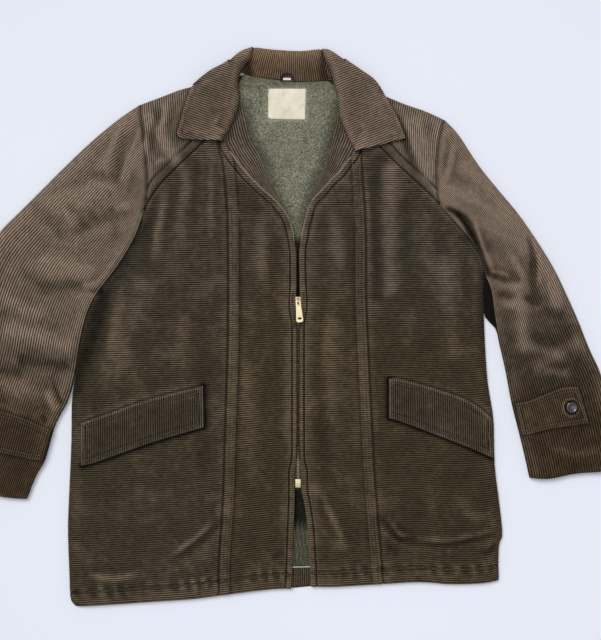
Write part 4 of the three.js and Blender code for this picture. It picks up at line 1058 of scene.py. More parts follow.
def make_front_centre(side):
    """A front centre panel, from the panel seam to the zip."""
    seam = edge(side, "princess")
    front = np.vstack([edge(side, "front"), seam[-1:]])
    at = np.linspace(0, 1, wales_in(seam[-1, 1] - seam[0, 1], PER))
    shares = shares_of(102, 5.5, low=(0.7, 1.6, 3.4, 4.4, 5.4, 9, 12.4, 13.6, 14.8, 16.4, 18),
                       high=(0.6, 1.4, 3, 4.8, 6.6, 7.6, 8.6, 9.6, 11, 14))
    net = ruled(by_axis(seam, UP, at), by_axis(front, UP, at), edge(side, "hem_centre"), pointed(seam[-1]), shares)
    top = front_sewn(side, net)
    y = net[..., 1]
    strip, band, hem = to_edge(net, side, "front"), to_edge(net, side, "princess"), to_edge(net, side, *HEM)
    closed = soft((40 - y) / 20) * soft((y + 196) / 20)
    shown = 1.0 if side == "left" else 0.45
    wear_and_painted_light = 0.04 + fold_wear_and_light(net, "front_" + side)
    # Paler along the front edge, but darker where the fronts meet over the closed zip: painted shade in the gap between
    # them.
    wear_and_painted_light += 0.45 * bell(strip, 1.6) * (1 - 3 * closed) + 0.3 * bell(hem, 1.6)
    wear_and_painted_light += 0.12 * soft((9 - strip) / 2) + 0.11 * shown * soft((14 - band) / 2)
    wear_and_painted_light -= shown * (0.2 * bell(band, 1.8) + 0.25 * bell(band - BAND_EDGE, 1.4)) + 0.06 * soft((-100 - y) / 100)
    # Painted shadow beside the collar fall's bottom edge.
    wear_and_painted_light -= 0.5 * bell(to_edge(net, side, "fall_bottom"), 4)
    wear_and_painted_light -= 0.36 * bell(strip - STRIP_FOLD, 1.3) + 0.3 * bell(hem - HEM_STITCH, 1.6)
    make_cloth(f"front_centre_{side}", net, np.minimum(front_body(side, net)[0], top - LEAST_WALL),
               top, wear_and_painted_light, olive=0.3 + 0.7 * soft((160 - y) / 180))


def make_yoke(side):
    """A yoke, its wales upright."""
    seam, shoulder = edge(side, "yoke_seam"), edge(side, "shoulder")
    at = np.linspace(0, 1, wales_in(abs(shoulder[-1, 0] - shoulder[0, 0]), PER))
    shares = shares_of(120, 4, low=(0.7, 1.7, 2.6, 3.6, 8.2, 9.4, 10.6, 12.2), high=(0.6, 1.6, 3.2, 5.5, 8.5))
    axis = (HAND[side], 0)
    net = ruled(by_axis(seam, axis, at), by_axis(shoulder, axis, at), edge(side, "arm_top"),
                edge(side, "yoke_neck"), shares)
    top = yoke_sewn(side, net)
    lap = to_edge(net, side, "yoke_seam")
    wear_and_painted_light = (0.5 if side == "left" else 0.58) + 1.8 * fold_wear_and_light(net, "front_" + side)
    wear_and_painted_light += 0.25 * bell(to_edge(net, side, "shoulder"), 1.6)
    wear_and_painted_light -= 0.12 * soft(1 - lap / 45) + 0.35 * bell(lap - LAP_EDGE, 1.5) + 0.4 * bell(lap, 1.5)
    # Darker over the lapped band, and painted shadow beside the collar fall's edges.
    wear_and_painted_light -= 0.24 * soft((13.4 - lap) / 1.5) + 0.5 * bell(to_edge(net, side, "fall_outer", "fall_bottom"), 4)
    wear_and_painted_light -= 0.3 * bell(to_edge(net, side, "arm_top"), 2.4)
    make_cloth(f"yoke_{side}", net, np.minimum(front_body(side, net)[0], top - LEAST_WALL), top,
               wear_and_painted_light)


def sleeve_top(side, points):
    """Top of a sleeve with the valley at its armhole and the stitched cuff edge."""
    cap, low, cuff = (to_edge(points, side, name) for name in ("arm_top", "arm_low", "cuff"))
    top = sleeve_body(side, points)[1] + groove(cap, 0, 3.0, 3.0) + groove(low, 0, 3.4, 3.6)
    return np.maximum(top - 1.2 * (1 - rounded(cuff, 3.5)), SLEEVE_LEAST)


def sleeve_wear_and_light(side, points):
    """How worn a sleeve is, with painted highlights and painted shade on its folds and edges and round its tab, and how
    far it has browned toward its cuff.
    """
    down = to_edge(points, side, "cuff", fine=2)
    wear_and_painted_light = np.interp(down, FROM_CUFF, SLEEVE_WORN[side]) - 0.15 * soft((300 - down) / 100)
    wear_and_painted_light += 1.5 * fold_wear_and_light(points, "sleeve_" + side)
    # Painted shadow round the cuff tab.
    wear_and_painted_light -= 0.4 * bell(nearest(points, *outline_of(side, "tab_bottom", "tab_top")), 3.2)
    wear_and_painted_light -= 0.3 * bell(to_edge(points, side, "arm_top"), 2.4)
    # Paler along the armhole, the inner edge and the outer edge: painted highlight where the cloth rolls.
    wear_and_painted_light += 0.45 * bell(to_edge(points, side, "arm_low", "inner"), 2.2) + 0.28 * bell(to_edge(points, side, "outer"), 5)
    return wear_and_painted_light, 0.7 * soft((210 - down) / 170)


def sleeve_net(side, shares, per):
    at = np.linspace(0, 1, wales_in(SLEEVE_WIDE[side], per))
    return ruled(by_share(edge(side, "-arm_top"), at), by_share(edge(side, "cuff"), at),
                 edge(side, "outer"), edge(side, "-arm_low", "inner"), shares)


def make_sleeve(side):
    """The upper half of a sleeve, and the under half that lies on the table."""
    net = sleeve_net(side, shares_of(470, 4.4, low=(0.8, 2, 3.6), high=(0.6, 1.6, 3.4)), PER)
    top = sleeve_top(side, net)
    wear_and_painted_light, brown = sleeve_wear_and_light(side, net)
    make_cloth(f"sleeve_upper_{side}", net, np.minimum(sleeve_body(side, net)[0], top - LEAST_WALL),
               top, wear_and_painted_light, olive=-0.15 - brown)
    net = sleeve_net(side, shares_of(470, 9, low=(2,), high=(1, 3)), PER_HIDDEN)
    low = 2.0 * (1 - rounded(to_edge(net, side, "outer", "inner"), 9))
    # The under half darkens toward the armpit: painted shade.
    hidden = 0.55 - 1.3 * bell(nearest(net, np.array(ARMPIT, float)), 26)
    if side == "right":
        # Below the armhole it lies further in than the upper half, down to the side seam.
        share = np.linspace(0, 1, len(net))[:, None]
        x_seam = np.interp(net[-1, :, 1], *edge(side, "side")[:, ::-1].T)
        inward = np.maximum(net[-1, :, 0] - x_seam - 0.6, 0) * soft((net[-1, :, 1] + 2) / 26)
        net[..., 0] -= inward * soft(share * 3 - 2)
        # Where it reaches into the gap by the side seam it is painted near-black: painted shade.
        hidden = np.minimum(hidden, 0.55 - 2.0 * soft(share * 3 - 2) * soft((net[..., 1] + 10) / 20))
    make_cloth(f"sleeve_under_{side}", net, low, np.full(net.shape[:2], 4.4), hidden,
               PER_HIDDEN, HIDDEN_RELIEF)


def flap_top(side, points):
    """Top of a pocket flap: two layers with a stitched edge, lying on the front."""
    rim = nearest(points, *outline_of(side, "flap_bottom", "flap_top"))
    top = front_body(side, points)[1] + FLAP_THICK + 0.4
    return top + groove(rim, RIM_STITCH, 1.4, 1.1) - 1.3 * (1 - rounded(rim, 3)) + 0.25 * uneven(points, 60), rim


def make_flap(side):
    """A pocket flap, its wales upright."""
    foot, head = curve(EDGES[side]["flap_bottom"]), curve(EDGES[side]["flap_top"])
    at = np.linspace(0, 1, wales_in(abs(foot[-1, 0] - foot[0, 0]), PER))
    rims = (0.5, 1.2, 2.4, 4, 6, 7, 8)
    net = between(foot, head, at, shares_of(60, 4.4, rims, rims), ACROSS)
    top, rim = flap_top(side, net)
    wear_and_painted_light = -0.07 + 0.26 * bell(rim, 1.8) - 0.2 * bell(rim - RIM_STITCH, 1.3)
    wear_and_painted_light += 0.22 * bell(nearest(net, curve(EDGES[side]["flap_top"], 3)), 5)
    make_cloth(f"pocket_flap_{side}", net, front_body(side, net)[1] + LAYER_GAP, top, wear_and_painted_light,
               olive=-0.2)


def from_button(side, points):
    return np.hypot(*np.moveaxis(points - np.array(BUTTON_AT[side]), -1, 0))


def tab_top(side, points):
    """Top of a cuff tab, drawn down round its button."""
    rim = nearest(points, *outline_of(side, "tab_bottom", "tab_top"))
    button = from_button(side, points)
    top = sleeve_body(side, points)[1] + FLAP_THICK + 0.4
    top += groove(rim, TAB_STITCH, 0.7, 1.0) - 1.2 * (1 - rounded(rim, 3))
    return top + 0.9 * bell(button - 10.5, 2.6) - 0.9 * bell(button, 8), rim


def make_tab(side):
    """A cuff tab, its wales along the sleeve."""
    foot, head = curve(EDGES[side]["tab_bottom"]), curve(EDGES[side]["tab_top"])
    at = np.linspace(0, 1, wales_in(np.hypot(*(foot[-1] - foot[0])), PER))
    rims = (0.5, 1.2, 2.4, 4, 5.6, 6.5, 7.4)
    net = between(foot, head, at, shares_of(56, 3.4, rims, rims))
    top, rim = tab_top(side, net)
    under = sleeve_body(side, net)[1] + LAYER_GAP
    button = from_button(side, net)
    wear_and_painted_light = -0.05 + 0.28 * bell(rim, 1.8) - 0.2 * bell(rim - TAB_STITCH, 1.3)
    # A paler worn ring round the button, and a dark ring of painted shade just round it.
    wear_and_painted_light += 0.5 * bell(button - 12.5, 1.6) - 0.9 * bell(button - 8.5, 2.4)
    make_cloth(f"cuff_tab_{side}", net, under, np.maximum(top, under + 1), wear_and_painted_light,
               olive=-0.8)


def fall_top(side, points):
    """Top of a collar fall: it spans the neck seam, rolls down at the fold and lies on the shoulder."""
    outline = rounded(to_edge(points, side, "collar_out"), 14)
    roll, rim = to_edge(points, side, "roll"), to_edge(points, side, "fall_outer", "fall_bottom")
    y = points[..., 1]
    front = edge(side, "front", fine=2)
    limit = np.vstack([front[front[:, 1] > 200], edge(side, "yoke_neck", fine=3)])
    covered = HAND[side] * (points[..., 0] - np.interp(y, limit[:, 1], limit[:, 0])) < 0
    resting = np.where(covered, front_body(side, points)[1] + 0.6, -1.0)
    full = np.maximum(3.3 + 9.5 * outline, resting) + 7.5 * soft(1 - roll / 55) * outline
    seat = LINING_TOP + 0.5 + 2.9 * soft((345 - y) / 12) + 4.6 * soft((FRONT_END[side] - y) / 12)
    rest = np.minimum(seat, full)
    under = np.maximum(rest + (full - rest) * rounded(roll, 9), resting)
    top = under + COLLAR_THICK + groove(rim, RIM_STITCH, 1.3, 1.1) - 1.3 * (1 - rounded(rim, 3))
    return under, top + 0.8 * uneven(points, 90), rim


def make_fall(side):
    """A collar fall; its wales meet the neck at a right angle."""
    tilt = math.radians(-21 if side == "left" else 23)
    axis = (-math.sin(tilt), math.cos(tilt))
    foot = edge(side, "fall_bottom")
    lowest = int(np.argmin(foot @ np.array(axis)))
    outer = np.vstack([foot[lowest::-1][:-1], edge(side, "fall_outer", "collar_out")])
    inner = np.vstack([foot[lowest:], edge(side, "roll")[1:]])
    at = np.linspace(0, 1, wales_in((inner[-1] - foot[lowest]) @ np.array(axis), PER))
    shares = shares_of(85, 3.6, low=(0.5, 1.2, 2.4, 4, 6, 7, 8), high=(0.5, 1.4, 3, 5, 7.4, 10))
    net = ruled(by_axis(outer, axis, at), by_axis(inner, axis, at), pointed(outer[0]), pointed(outer[-1]), shares)
    under, top, rim = fall_top(side, net)
    # Paler along the frayed rim with wear, along the roll with painted highlight, and paler toward the outer edge.
    wear_and_painted_light = (0.38 if side == "left" else 0.54) + 0.32 * bell(rim, 2) + 0.1 * bell(to_edge(net, side, "roll"), 8)
    wear_and_painted_light += 0.18 * bell(to_edge(net, side, "collar_out"), 14)
    make_cloth(f"collar_fall_{side}", net, under, top, wear_and_painted_light,
               olive=-0.25)


def band_ends(points):
    """Distance from the nearer end of the collar band."""
    return np.minimum(np.abs(points[..., 0] + 55), np.abs(points[..., 0] - 56))


def band_heights(points):
    """Underside and top of the collar band, and how far its crown is."""
    crown, neck = nearest(points, curve(BAND_TOP, 4)), nearest(points, curve(BAND_NECK, 4))
    rise = 5.0 + 5.5 * soft(neck / 30)
    under = 3.3 + (rise - 3.3) * rounded(crown, 11)
    return under, under + COLLAR_THICK + 0.5 * uneven(points, 17) - 1.2 * bell(band_ends(points), 7), crown


def make_collar_band():
    """The band inside the neck and the part of the collar behind it."""
    at = np.linspace(0, 1, wales_in(118, PER))
    net = between(curve(BAND_NECK), curve(BAND_TOP), at, shares_of(42, 3, low=(0.8, 2), high=(0.8, 2, 4, 6.5)), ACROSS)
    under, top, crown = band_heights(net)
    # Paler along the crown, partly wear and partly painted highlight, and darker at the ends with painted shade where
    # the falls lie over them.
    wear_and_painted_light = 0.36 + 0.5 * bell(crown, 12) - 0.5 * bell(band_ends(net), 8) * soft(crown / 8)
    make_cloth("collar_band", net, under, top, wear_and_painted_light, olive=-0.8)
    head = np.vstack([edge("left", "collar_out"), curve(BAND_TOP), edge("right", "-collar_out")])
    foot = np.vstack([edge("left", "under_neck"), curve(NECK_UNDER)[1:], edge("right", "-under_neck")[1:]])
    net = between(foot, head, np.linspace(0, 1, wales_in(280, PER_HIDDEN)), np.linspace(0, 1, 7))
    flat = np.zeros(net.shape[:2])
    make_cloth("collar_under", net, flat, flat + 3.0, 0.5, PER_HIDDEN, HIDDEN_RELIEF)


def make_facing(side):
    """The corduroy inside a front edge; its wales follow that edge."""
    hidden = offset(np.array(EDGES[side]["front"][16:], float), 6 * HAND[side])
    net = alongside(hidden, edge(side, "facing_in"), np.linspace(0, 1, wales_in(34, PER)), shares_of(190, 4))
    slope = to_edge(net, side, "facing_in")
    top = 9.6 + 0.9 * soft(slope / 20) + 0.6 * uneven(net, 44)
    wear_and_painted_light = 0.26 + 0.15 * bell(slope, 3) - 0.2 * soft((200 - net[..., 1]) / 50)
    make_cloth(f"facing_{side}", net, np.full(net.shape[:2], 7.35), top, wear_and_painted_light)


def make_back():
    """The back, one piece under everything, and the facing inside its hem."""
    outline = ("side", "arm_low", "arm_top", "shoulder")
    left = np.vstack([edge("left", *outline), [[-64, 372]]])
    right = np.vstack([edge("right", *outline), [[64, 369]]])
    at = np.linspace(0, 1, wales_in(760, PER_HIDDEN))
    hem = np.vstack([edge("left", *HEM, fine=3), edge("right", *HEM, fine=3)[::-1]])
    net = ruled(by_axis(left, UP, at), by_axis(right, UP, at), hem, np.array(BACK_NECK),
                shares_of(620, 12, low=(1, 3, 7), high=(1, 3, 7)))
    flat = np.zeros(net.shape[:2])
    make_cloth("back", net, flat, flat + BACK_THICK, 0.08, PER_HIDDEN, HIDDEN_RELIEF)
    at = np.linspace(0, 1, wales_in(576, PER))
    net = between(curve(FACING_FOOT), curve(FACING_TOP), at, np.linspace(0, 1, 9), ACROSS)
    low = np.full(net.shape[:2], 2.3)
    make_cloth("back_hem_facing", net, low, low + 1.9, 0.1)


def make_lining():
    """The pile lining, fine where the open neck and the gap below the zip show it."""
    left, right = edge("left", "lining"), edge("right", "lining")
    low, high = -368.0, 371.0
    rows_at = np.unique(np.concatenate([
        [low, low + 8, low + 22], np.arange(-346, -226, 2.6), np.arange(-210, 110, 20), np.arange(112, high, 2.4),
        [high]]))
    at = (rows_at - rows_at[0]) / (rows_at[-1] - rows_at[0])
    shares = np.concatenate([np.linspace(0, 0.31, 9), np.linspace(0.325, 0.675, 78), np.linspace(0.69, 1, 9)])
    net = ruled(by_axis(left, UP, at), by_axis(right, UP, at), curve(LINING_FOOT), np.array(LINING_NECK), shares)
    x, y = net[..., 0], net[..., 1]
    # How far each point lies inside the opening between the two fronts, and how much of it shows.
    fronts = []
    for side, neck_x in (("left", -72), ("right", 76)):
        line = np.vstack([edge(side, "front"), [[neck_x, 330]]])
        fronts.append(np.interp(y, line[:, 1], line[:, 0]))
    inside = np.minimum(x - fronts[0], fronts[1] - x)
    neck, foot = soft((y - 108) / 10), soft((-222 - y) / 8)
    shown = soft((inside + 26) / 14) * np.maximum(neck, foot)
    curl = np.sin(x * 1.9 + 2 * np.sin(y * 0.83)) * np.sin(y * 1.7 + 2 * np.sin(x * 0.71))
    knot = np.sin(x * 0.62 + 1.5 * np.sin(y * 0.41)) * np.sin(y * 0.55 + 1.7 * np.sin(x * 0.33))
    seam = -0.9 * bell(y - 272 + 0.02 * x, 1.8) * soft((100 - np.abs(x)) / 20)
    sag = 0.5 * np.sin(x / 31) * np.sin(y / 27)
    gap = soft((-226 - y) / 10) * soft((60 - np.abs(x - 22)) / 20)
    streak = 0.5 * np.sin(x * 1.3 + 1.5 * np.sin(y / 9) + 0.6 * np.sin(y / 3.7)) * gap
    top = LINING_TOP - 0.4 + shown * (0.4 * curl + 0.35 * knot + seam + sag) - 2.2 * (1 - shown) - 2.0 * gap + streak
    rim = np.minimum(np.abs(y - 366), nearest(net, *(edge(side, "facing_in", fine=3) for side in SIDES)))
    # Darker round the facings and the neck, toward the foot of the V and down the gap below the zip: painted shade;
    # paler lower down, with the pile's own streaks.
    painted_shade_and_streaks = 0.06 * soft((210 - y) / 60) - 0.22 * bell(rim, 12) - gap * (0.36 + 0.5 * soft((y + 300) / 36))
    painted_shade_and_streaks = painted_shade_and_streaks + 0.3 * streak - 0.9 * soft((142 - y) / 24) * (y > 0)
    piece = cloth_shell("back_lining_pile", net, np.full(net.shape[:2], 2.35), top, 1, painted_shade_and_streaks, relief=0.0)
    # Curls stand where the lining shows, but for the place of the label.
    under_label = (np.abs(x - 1.5) < 31) & (y > 302) & (y < 355)
    share = soft((inside + 8) / 4) * np.maximum(neck, 0.5 * foot) * soft((358 - y) / 3) * ~under_label
    mark(piece.data, "pile", np.concatenate([share.ravel(), np.zeros(share.size)]))
    tufts = run_tree(link("pile_source", piece.data.copy()), tuft_tree("pile_curls", material("pile")), {
        "Per square metre": CURLS_PER_M2, "Length": bpy.context.scene.jacket_sizes.tuft_length}, "back_lining_curls")
    dress(tufts)
    finish_cloth(piece, "back_lining", "pile")


def widened(points):
    """The pull as worn: it widens evenly to its foot, where its opening is arched."""
    turn = math.radians(PULL_TURN)
    x, y = points[:, 0] - ZIP_X, points[:, 1] - SLIDER_Y
    across, along = x * math.cos(turn) + y * math.sin(turn), -x * math.sin(turn) + y * math.cos(turn)
    across = np.where(np.abs(along + 15) < 0.1, across * 0.82, across)
    eye = np.hypot(across, along + 25.8) < 2.4
    across = np.where(eye, across * 1.5, across)
    along = np.where(eye, -26.2 + (along + 25.8) * np.where(along > -25.8, 1.25, 0.4), along)
    points[:, 0] = ZIP_X + across * math.cos(turn) - along * math.sin(turn)
    points[:, 1] = SLIDER_Y + across * math.sin(turn) + along * math.cos(turn)
    return points


def raised(points):
    """The hanging loop, pulled up a little over the band."""
    points[:, 1] = 362 + (points[:, 1] - 362) * 1.18
    return points


def flattened(points):
    """The loop's stay, of which the loop and the lining leave a narrow piece to be seen."""
    points[:, 1] = 364 + (points[:, 1] - 364) * 0.72 + 0.5 * np.sin(points[:, 0] / 2)
    return points


def smooth_copy(node, name, bevel, kind, body="garment", reshape=None):
    """A copy of a hard CAD part with its edges rounded."""
    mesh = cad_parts[node].data.copy()
    if reshape:
        flat = np.zeros(len(mesh.vertices) * 3, np.float32)
        mesh.vertices.foreach_get("co", flat)
        mesh.vertices.foreach_set("co", (reshape(flat.reshape(-1, 3) / MM) * MM).astype(np.float32).ravel())
    work = bmesh.new()
    work.from_mesh(mesh)
    bmesh.ops.remove_doubles(work, verts=work.verts, dist=1e-6)
    bmesh.ops.dissolve_limit(work, angle_limit=math.radians(2), verts=work.verts, edges=work.edges)
    sharp = [e for e in work.edges if len(e.link_faces) == 2 and e.calc_face_angle(0) > math.radians(25)]
    bmesh.ops.bevel(work, geom=sharp, offset=bevel * MM, segments=3, profile=0.6, affect="EDGES",
                    clamp_overlap=True)
    bmesh.ops.triangulate(work, faces=[f for f in work.faces if len(f.verts) > 4])
    work.to_mesh(mesh)
    work.free()
    mesh.materials.clear()
    mesh.materials.append(material(kind))
    for layer in list(mesh.uv_layers):
        mesh.uv_layers.remove(layer)
    mesh.shade_smooth()
    mesh.set_sharp_from_angle(angle=math.radians(40))
    dress(link(name, mesh), node, body)


def tape_edge(side, distance):
    """The tape's line: beside the front edge, or at the middle of the closed zip below the slider."""
    line = offset(np.array(EDGES[side]["front"][6:24], float), -distance * HAND[side])
    if distance > 0:
        line[line[:, 1] < 36, 0] = ZIP_X - 0.15 * HAND[side]
    line[0, 1] = -215.7
    return line


def make_zip():
    """Tapes, teeth, slider, pull and box."""
    rows = []
    for side in SIDES:
        net = alongside(tape_edge(side, -8), tape_edge(side, 1.5), np.linspace(0, 1, 9), np.linspace(0, 1, 120))
        low = np.full(net.shape[:2], 10.0)
        make_cloth(f"zip_tape_{side}", net, low, low + 0.9, 0.0, 1, 0.0,
                   kind="tape")
        line = by_share(tape_edge(side, 0.7), np.linspace(0.002, 0.985, 200))
        open_part = line[:, 1] > 46
        line[:, 0] -= 1.4 * HAND[side] * soft((140 - line[:, 1]) / 24)
        line[~open_part, 0] = ZIP_X - 0.75 * HAND[side]
        for part in (line[open_part], line[line[:, 1] < 34]):
            rows.append(np.concatenate([part, np.full((len(part), 1), 11.0)], -1))
    tree = row_tree("zip_teeth_rows", material("teeth"), "block")
    teeth = run_tree(lines_object("zip_teeth_lines", rows), tree, {
        "Pitch": bpy.context.scene.jacket_sizes.tooth_pitch, "Length": 1.15 * MM, "Width": 1.9 * MM,
        "Height": 1.3 * MM}, "zip_teeth")
    dress(teeth)
    smooth_copy("zip_slider", "zip_slider_body", 0.3, "slider")
    smooth_copy("zip_box", "zip_box_body", 0.5, "brass")
    smooth_copy("zip_pull", "zip_pull_tab", 0.28, "brass", body="pull", reshape=widened)


def make_button(side):
    """A cast button with a raised rim, a dish, four holes and its crossed thread."""
    node = f"cuff_button_{side}"
    low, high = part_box(node)
    centre = (low + high) / 2
    work = bmesh.new()
    points = [work.verts.new((r * MM, 0, z * MM)) for r, z in BUTTON_PROFILE]
    lines = [work.edges.new(pair) for pair in zip(points[:-1], points[1:])]
    bmesh.ops.spin(work, geom=points + lines, cent=(0, 0, 0), axis=(0, 0, 1), angle=2 * math.pi, steps=40)
    bmesh.ops.remove_doubles(work, verts=work.verts, dist=1e-6)
    bmesh.ops.recalc_face_normals(work, faces=work.faces)
    mesh = bpy.data.meshes.new(node + "_disc")
    work.to_mesh(mesh)
    work.free()
    disc = link(node + "_disc", mesh)
    spots = [(HOLE_AT * math.cos(a), HOLE_AT * math.sin(a)) for a in (math.pi * k / 4 for k in (1, 3, 5, 7))]
    holes = bmesh.new()
    for x, y in spots:
        made = bmesh.ops.create_cone(holes, cap_ends=True, segments=12, radius1=0.95 * MM, radius2=0.95 * MM,
                                     depth=8 * MM)
        bmesh.ops.translate(holes, verts=made["verts"], vec=(x * MM, y * MM, 2 * MM))
    hole_mesh = bpy.data.meshes.new("holes")
    holes.to_mesh(hole_mesh)
    holes.free()
    cutter = link("holes", hole_mesh)
    cut = disc.modifiers.new("holes", "BOOLEAN")
    cut.operation, cut.object, cut.solver = "DIFFERENCE", cutter, "EXACT"
    bpy.context.view_layer.update()
    final = bpy.data.meshes.new_from_object(disc.evaluated_get(bpy.context.evaluated_depsgraph_get()))
    disc.modifiers.remove(cut)
    bpy.data.objects.remove(cutter)
    disc.data = final
    final.transform(Matrix.Translation((centre.x, centre.y, low.z)))
    final.shade_smooth()
    final.set_sharp_from_angle(angle=math.radians(35))
    final.materials.clear()
    final.materials.append(material("resin"))
    dress(disc, node)
    at = [(centre.x / MM + x, centre.y / MM + y, low.z / MM + 2.5) for x, y in spots]
    tree = row_tree(f"button_thread_{side}_rows", material("thread"), "round")
    thread = run_tree(lines_object("button_lines", [[at[0], at[2]], [at[1], at[3]]]), tree, {
        "Pitch": 1.0 * MM, "Length": 2.2 * MM, "Width": 0.9 * MM, "Height": 0.7 * MM}, f"button_thread_{side}")
    dress(thread)


def label_top(points):
    x, y = points[..., 0], points[..., 1]
    return 8.0 + 0.35 * np.sin(x / 9 + 1) * np.sin(y / 13) + 0.2 * np.sin(x / 5 + y / 7)


def make_trims():
    """Neck label, hanging loop, its stay and the pale edging."""
    foot, head = np.array(LABEL_FOOT, float), np.array(LABEL_TOP, float)
    net = between(foot, head, np.linspace(0, 1, 29), np.linspace(0, 1, 23))
    rim = nearest(net, foot, head, *(np.array([foot[k], head[k]]) for k in (0, -1)))
    top = label_top(net) - 0.35 * (1 - rounded(rim, 1.2)) + groove(rim, 2.4, 0.3, 0.7)
    make_cloth("neck_label", net, label_top(net) - 0.75, top, 0.0, 1, 0.0,
               kind="label")
    smooth_copy("hang_loop", "hang_loop_strip", 0.3, "loop", reshape=raised)
    smooth_copy("loop_stay", "loop_stay_piece", 0.25, "label", reshape=flattened)
    smooth_copy("lining_piping", "lining_piping_edge", 0.4, "piping")


def seam_lines(side):
    """Topstitched lines on one side, each a line on the cloth."""
    seam, front = edge(side, "princess")[2:-3], edge(side, "front")[4:-6]
    yoke, arm = edge(side, "yoke_seam")[1:-1], edge(side, "arm_low")[2:]
    hem_side, hem_centre = (edge(side, name)[1:-1] for name in HEM)
    lines = [*((seam, -at, front_sewn) for at in BAND_STITCHES), (front, 10.2, front_sewn), (yoke, 2.6, yoke_sewn),
             (yoke, 9.4, yoke_sewn), (arm, -ARM_STITCH, side_sewn), (hem_side, HEM_STITCH, side_sewn),
             (hem_centre, HEM_STITCH, front_sewn)]
    return [on_top(side, offset(line, at * HAND[side]), sewn) for line, at, sewn in lines]


def rim_lines(side):
    """Stitching round the flap, the tab and the collar fall, a step inside their edges."""
    found = []
    for piece, inset, heights in (("flap", RIM_STITCH, lambda s, p: flap_top(s, p)[0]),
                                  ("tab", TAB_STITCH, lambda s, p: tab_top(s, p)[0])):
        foot, head = curve(EDGES[side][piece + "_bottom"]), curve(EDGES[side][piece + "_top"])
        both = (offset(foot, inset), offset(head, -inset))
        low, high = (by_share(line, np.linspace(0.04, 0.96, 40)) for line in both)
        ends = [by_share(np.array([low[k], high[k]]), np.linspace(0.02, 0.98, 8)) for k in (0, -1)]
        found.extend(on_top(side, line, heights) for line in (low, high, *ends))
    first = 8 if side == "left" else 2
    outer = offset(edge(side, "fall_outer")[3:], -RIM_STITCH * HAND[side])
    foot = offset(edge(side, "fall_bottom")[first:-3], RIM_STITCH * HAND[side])
    found.extend(on_top(side, line, lambda s, p: fall_top(s, p)[1]) for line in (outer, foot))
    return found


class JACKET_OT_fronts(bpy.types.Operator):
    """Make the front panels and yokes"""
    bl_idname = "jacket.fronts"
    bl_label = "Fronts and yokes"

    def execute(self, context):
        for side in SIDES:
            make_front_side(side)
            make_front_centre(side)
            make_yoke(side)
        return {"FINISHED"}


class JACKET_OT_sleeves(bpy.types.Operator):
    """Make both halves of the sleeves"""
    bl_idname = "jacket.sleeves"
    bl_label = "Sleeves"

    def execute(self, context):
        for side in SIDES:
            make_sleeve(side)
        return {"FINISHED"}


class JACKET_OT_back(bpy.types.Operator):
    """Make the back, its hem facing and the pile lining"""
    bl_idname = "jacket.back"
    bl_label = "Back and lining"

    def execute(self, context):
        make_back()
        make_lining()
        return {"FINISHED"}


class JACKET_OT_pockets(bpy.types.Operator):
    """Make the pocket flaps and cuff tabs with their buttons"""
    bl_idname = "jacket.pockets"
    bl_label = "Flaps, tabs and buttons"

    def execute(self, context):
        for side in SIDES:
            make_flap(side)
            make_tab(side)
            make_button(side)
        return {"FINISHED"}


class JACKET_OT_collar(bpy.types.Operator):
    """Make the collar and the front facings"""
    bl_idname = "jacket.collar"
    bl_label = "Collar and facings"

    def execute(self, context):
        for side in SIDES:
            make_facing(side)
            make_fall(side)
        make_collar_band()
        return {"FINISHED"}


class JACKET_OT_zip(bpy.types.Operator):
    """Make the zip and the small trims"""
    bl_idname = "jacket.zip"
    bl_label = "Zip and trims"

    def execute(self, context):
        make_zip()
        make_trims()
        return {"FINISHED"}


class JACKET_OT_stitches(bpy.types.Operator):
    """Sew the topstitching"""
    bl_idname = "jacket.stitches"
    bl_label = "Topstitching"

    def execute(self, context):
        for side in SIDES:
            sew(f"seam_stitches_{side}", seam_lines(side))
            sew(f"edge_stitches_{side}", rim_lines(side))
        return {"FINISHED"}


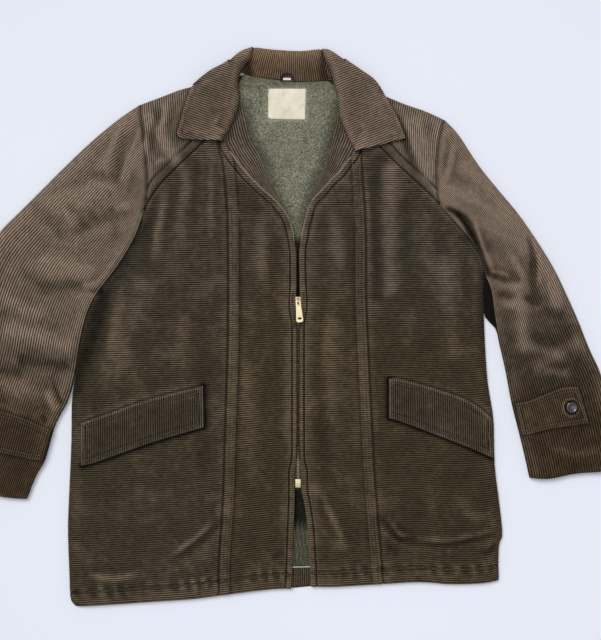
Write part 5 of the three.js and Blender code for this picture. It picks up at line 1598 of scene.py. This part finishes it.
class JACKET_OT_stage(bpy.types.Operator):
    """Make the floor, the lights and the camera"""
    bl_idname = "jacket.stage"
    bl_label = "Stage"

    def execute(self, context):
        scene = context.scene
        mesh = bpy.data.meshes.new("floor")
        mesh.from_pydata([(x, y, -0.0004) for x, y in ((-4, -4), (4, -4), (4, 4), (-4, 4))], [], [(0, 1, 2, 3)])
        mesh.materials.append(material("paper"))
        link("floor", mesh)
        # A broad window beyond the collar, a softbox overhead and the pale room round them.
        lamp = bpy.data.lights.new("window", "SUN")
        lamp.angle = math.radians(28)
        lamp.energy = 1.65
        lamp.color = linear("#fffefc")
        holder = bpy.data.objects.new("window", lamp)
        scene.collection.objects.link(holder)
        holder.rotation_euler = Vector((0.5, -0.72, -1.2)).to_track_quat("-Z", "Y").to_euler()
        lamp = bpy.data.lights.new("softbox", "AREA")
        lamp.shape, lamp.size, lamp.energy = "SQUARE", 1.4, 10.5
        holder = bpy.data.objects.new("softbox", lamp)
        scene.collection.objects.link(holder)
        holder.location = (0.02, 0.02, 1.95)
        world = bpy.data.worlds.new("pale room")
        world.use_nodes = True
        world.node_tree.nodes["Background"].inputs["Color"].default_value = rgba(linear("#eef2fb"))
        world.node_tree.nodes["Background"].inputs["Strength"].default_value = 0.36
        scene.world = world
        scene.view_settings.view_transform = "Standard"
        lens = bpy.data.cameras.new("camera")
        lens.lens = 54.3
        lens.sensor_width = 36
        lens.clip_end = 20
        camera = bpy.data.objects.new("camera", lens)
        camera.location = (0.021, 0.0145, 1.412)
        scene.collection.objects.link(camera)
        scene.camera = camera
        return {"FINISHED"}


class JACKET_PT_panel(bpy.types.Panel):
    """Lists the jacket's pieces and sizes"""
    bl_idname = "JACKET_PT_panel"
    bl_label = "Laid corduroy jacket"
    bl_space_type = "VIEW_3D"
    bl_region_type = "UI"
    bl_category = "Jacket"

    def draw(self, context):
        for operator in OPERATORS:
            self.layout.operator(operator.bl_idname)
        for group in (context.scene.jacket_sizes, context.scene.jacket_colours):
            box = self.layout.box()
            for name in group.bl_rna.properties.keys():
                if name not in ("rna_type", "name"):
                    box.prop(group, name)


OPERATORS = (JACKET_OT_back, JACKET_OT_fronts, JACKET_OT_sleeves, JACKET_OT_pockets, JACKET_OT_collar,
             JACKET_OT_zip, JACKET_OT_stitches, JACKET_OT_stage)
CLASSES = (JacketSizes, JacketColours, *OPERATORS, JACKET_PT_panel)


def register():
    for made in CLASSES:
        bpy.utils.register_class(made)
    bpy.types.Scene.jacket_sizes = bpy.props.PointerProperty(type=JacketSizes)
    bpy.types.Scene.jacket_colours = bpy.props.PointerProperty(type=JacketColours)


def unregister():
    del bpy.types.Scene.jacket_colours
    del bpy.types.Scene.jacket_sizes
    for made in reversed(CLASSES):
        bpy.utils.unregister_class(made)


def main():
    register()
    for operator in OPERATORS:
        group, name = operator.bl_idname.split(".")
        getattr(getattr(bpy.ops, group), name)()


if __name__ == "__main__":
    main()
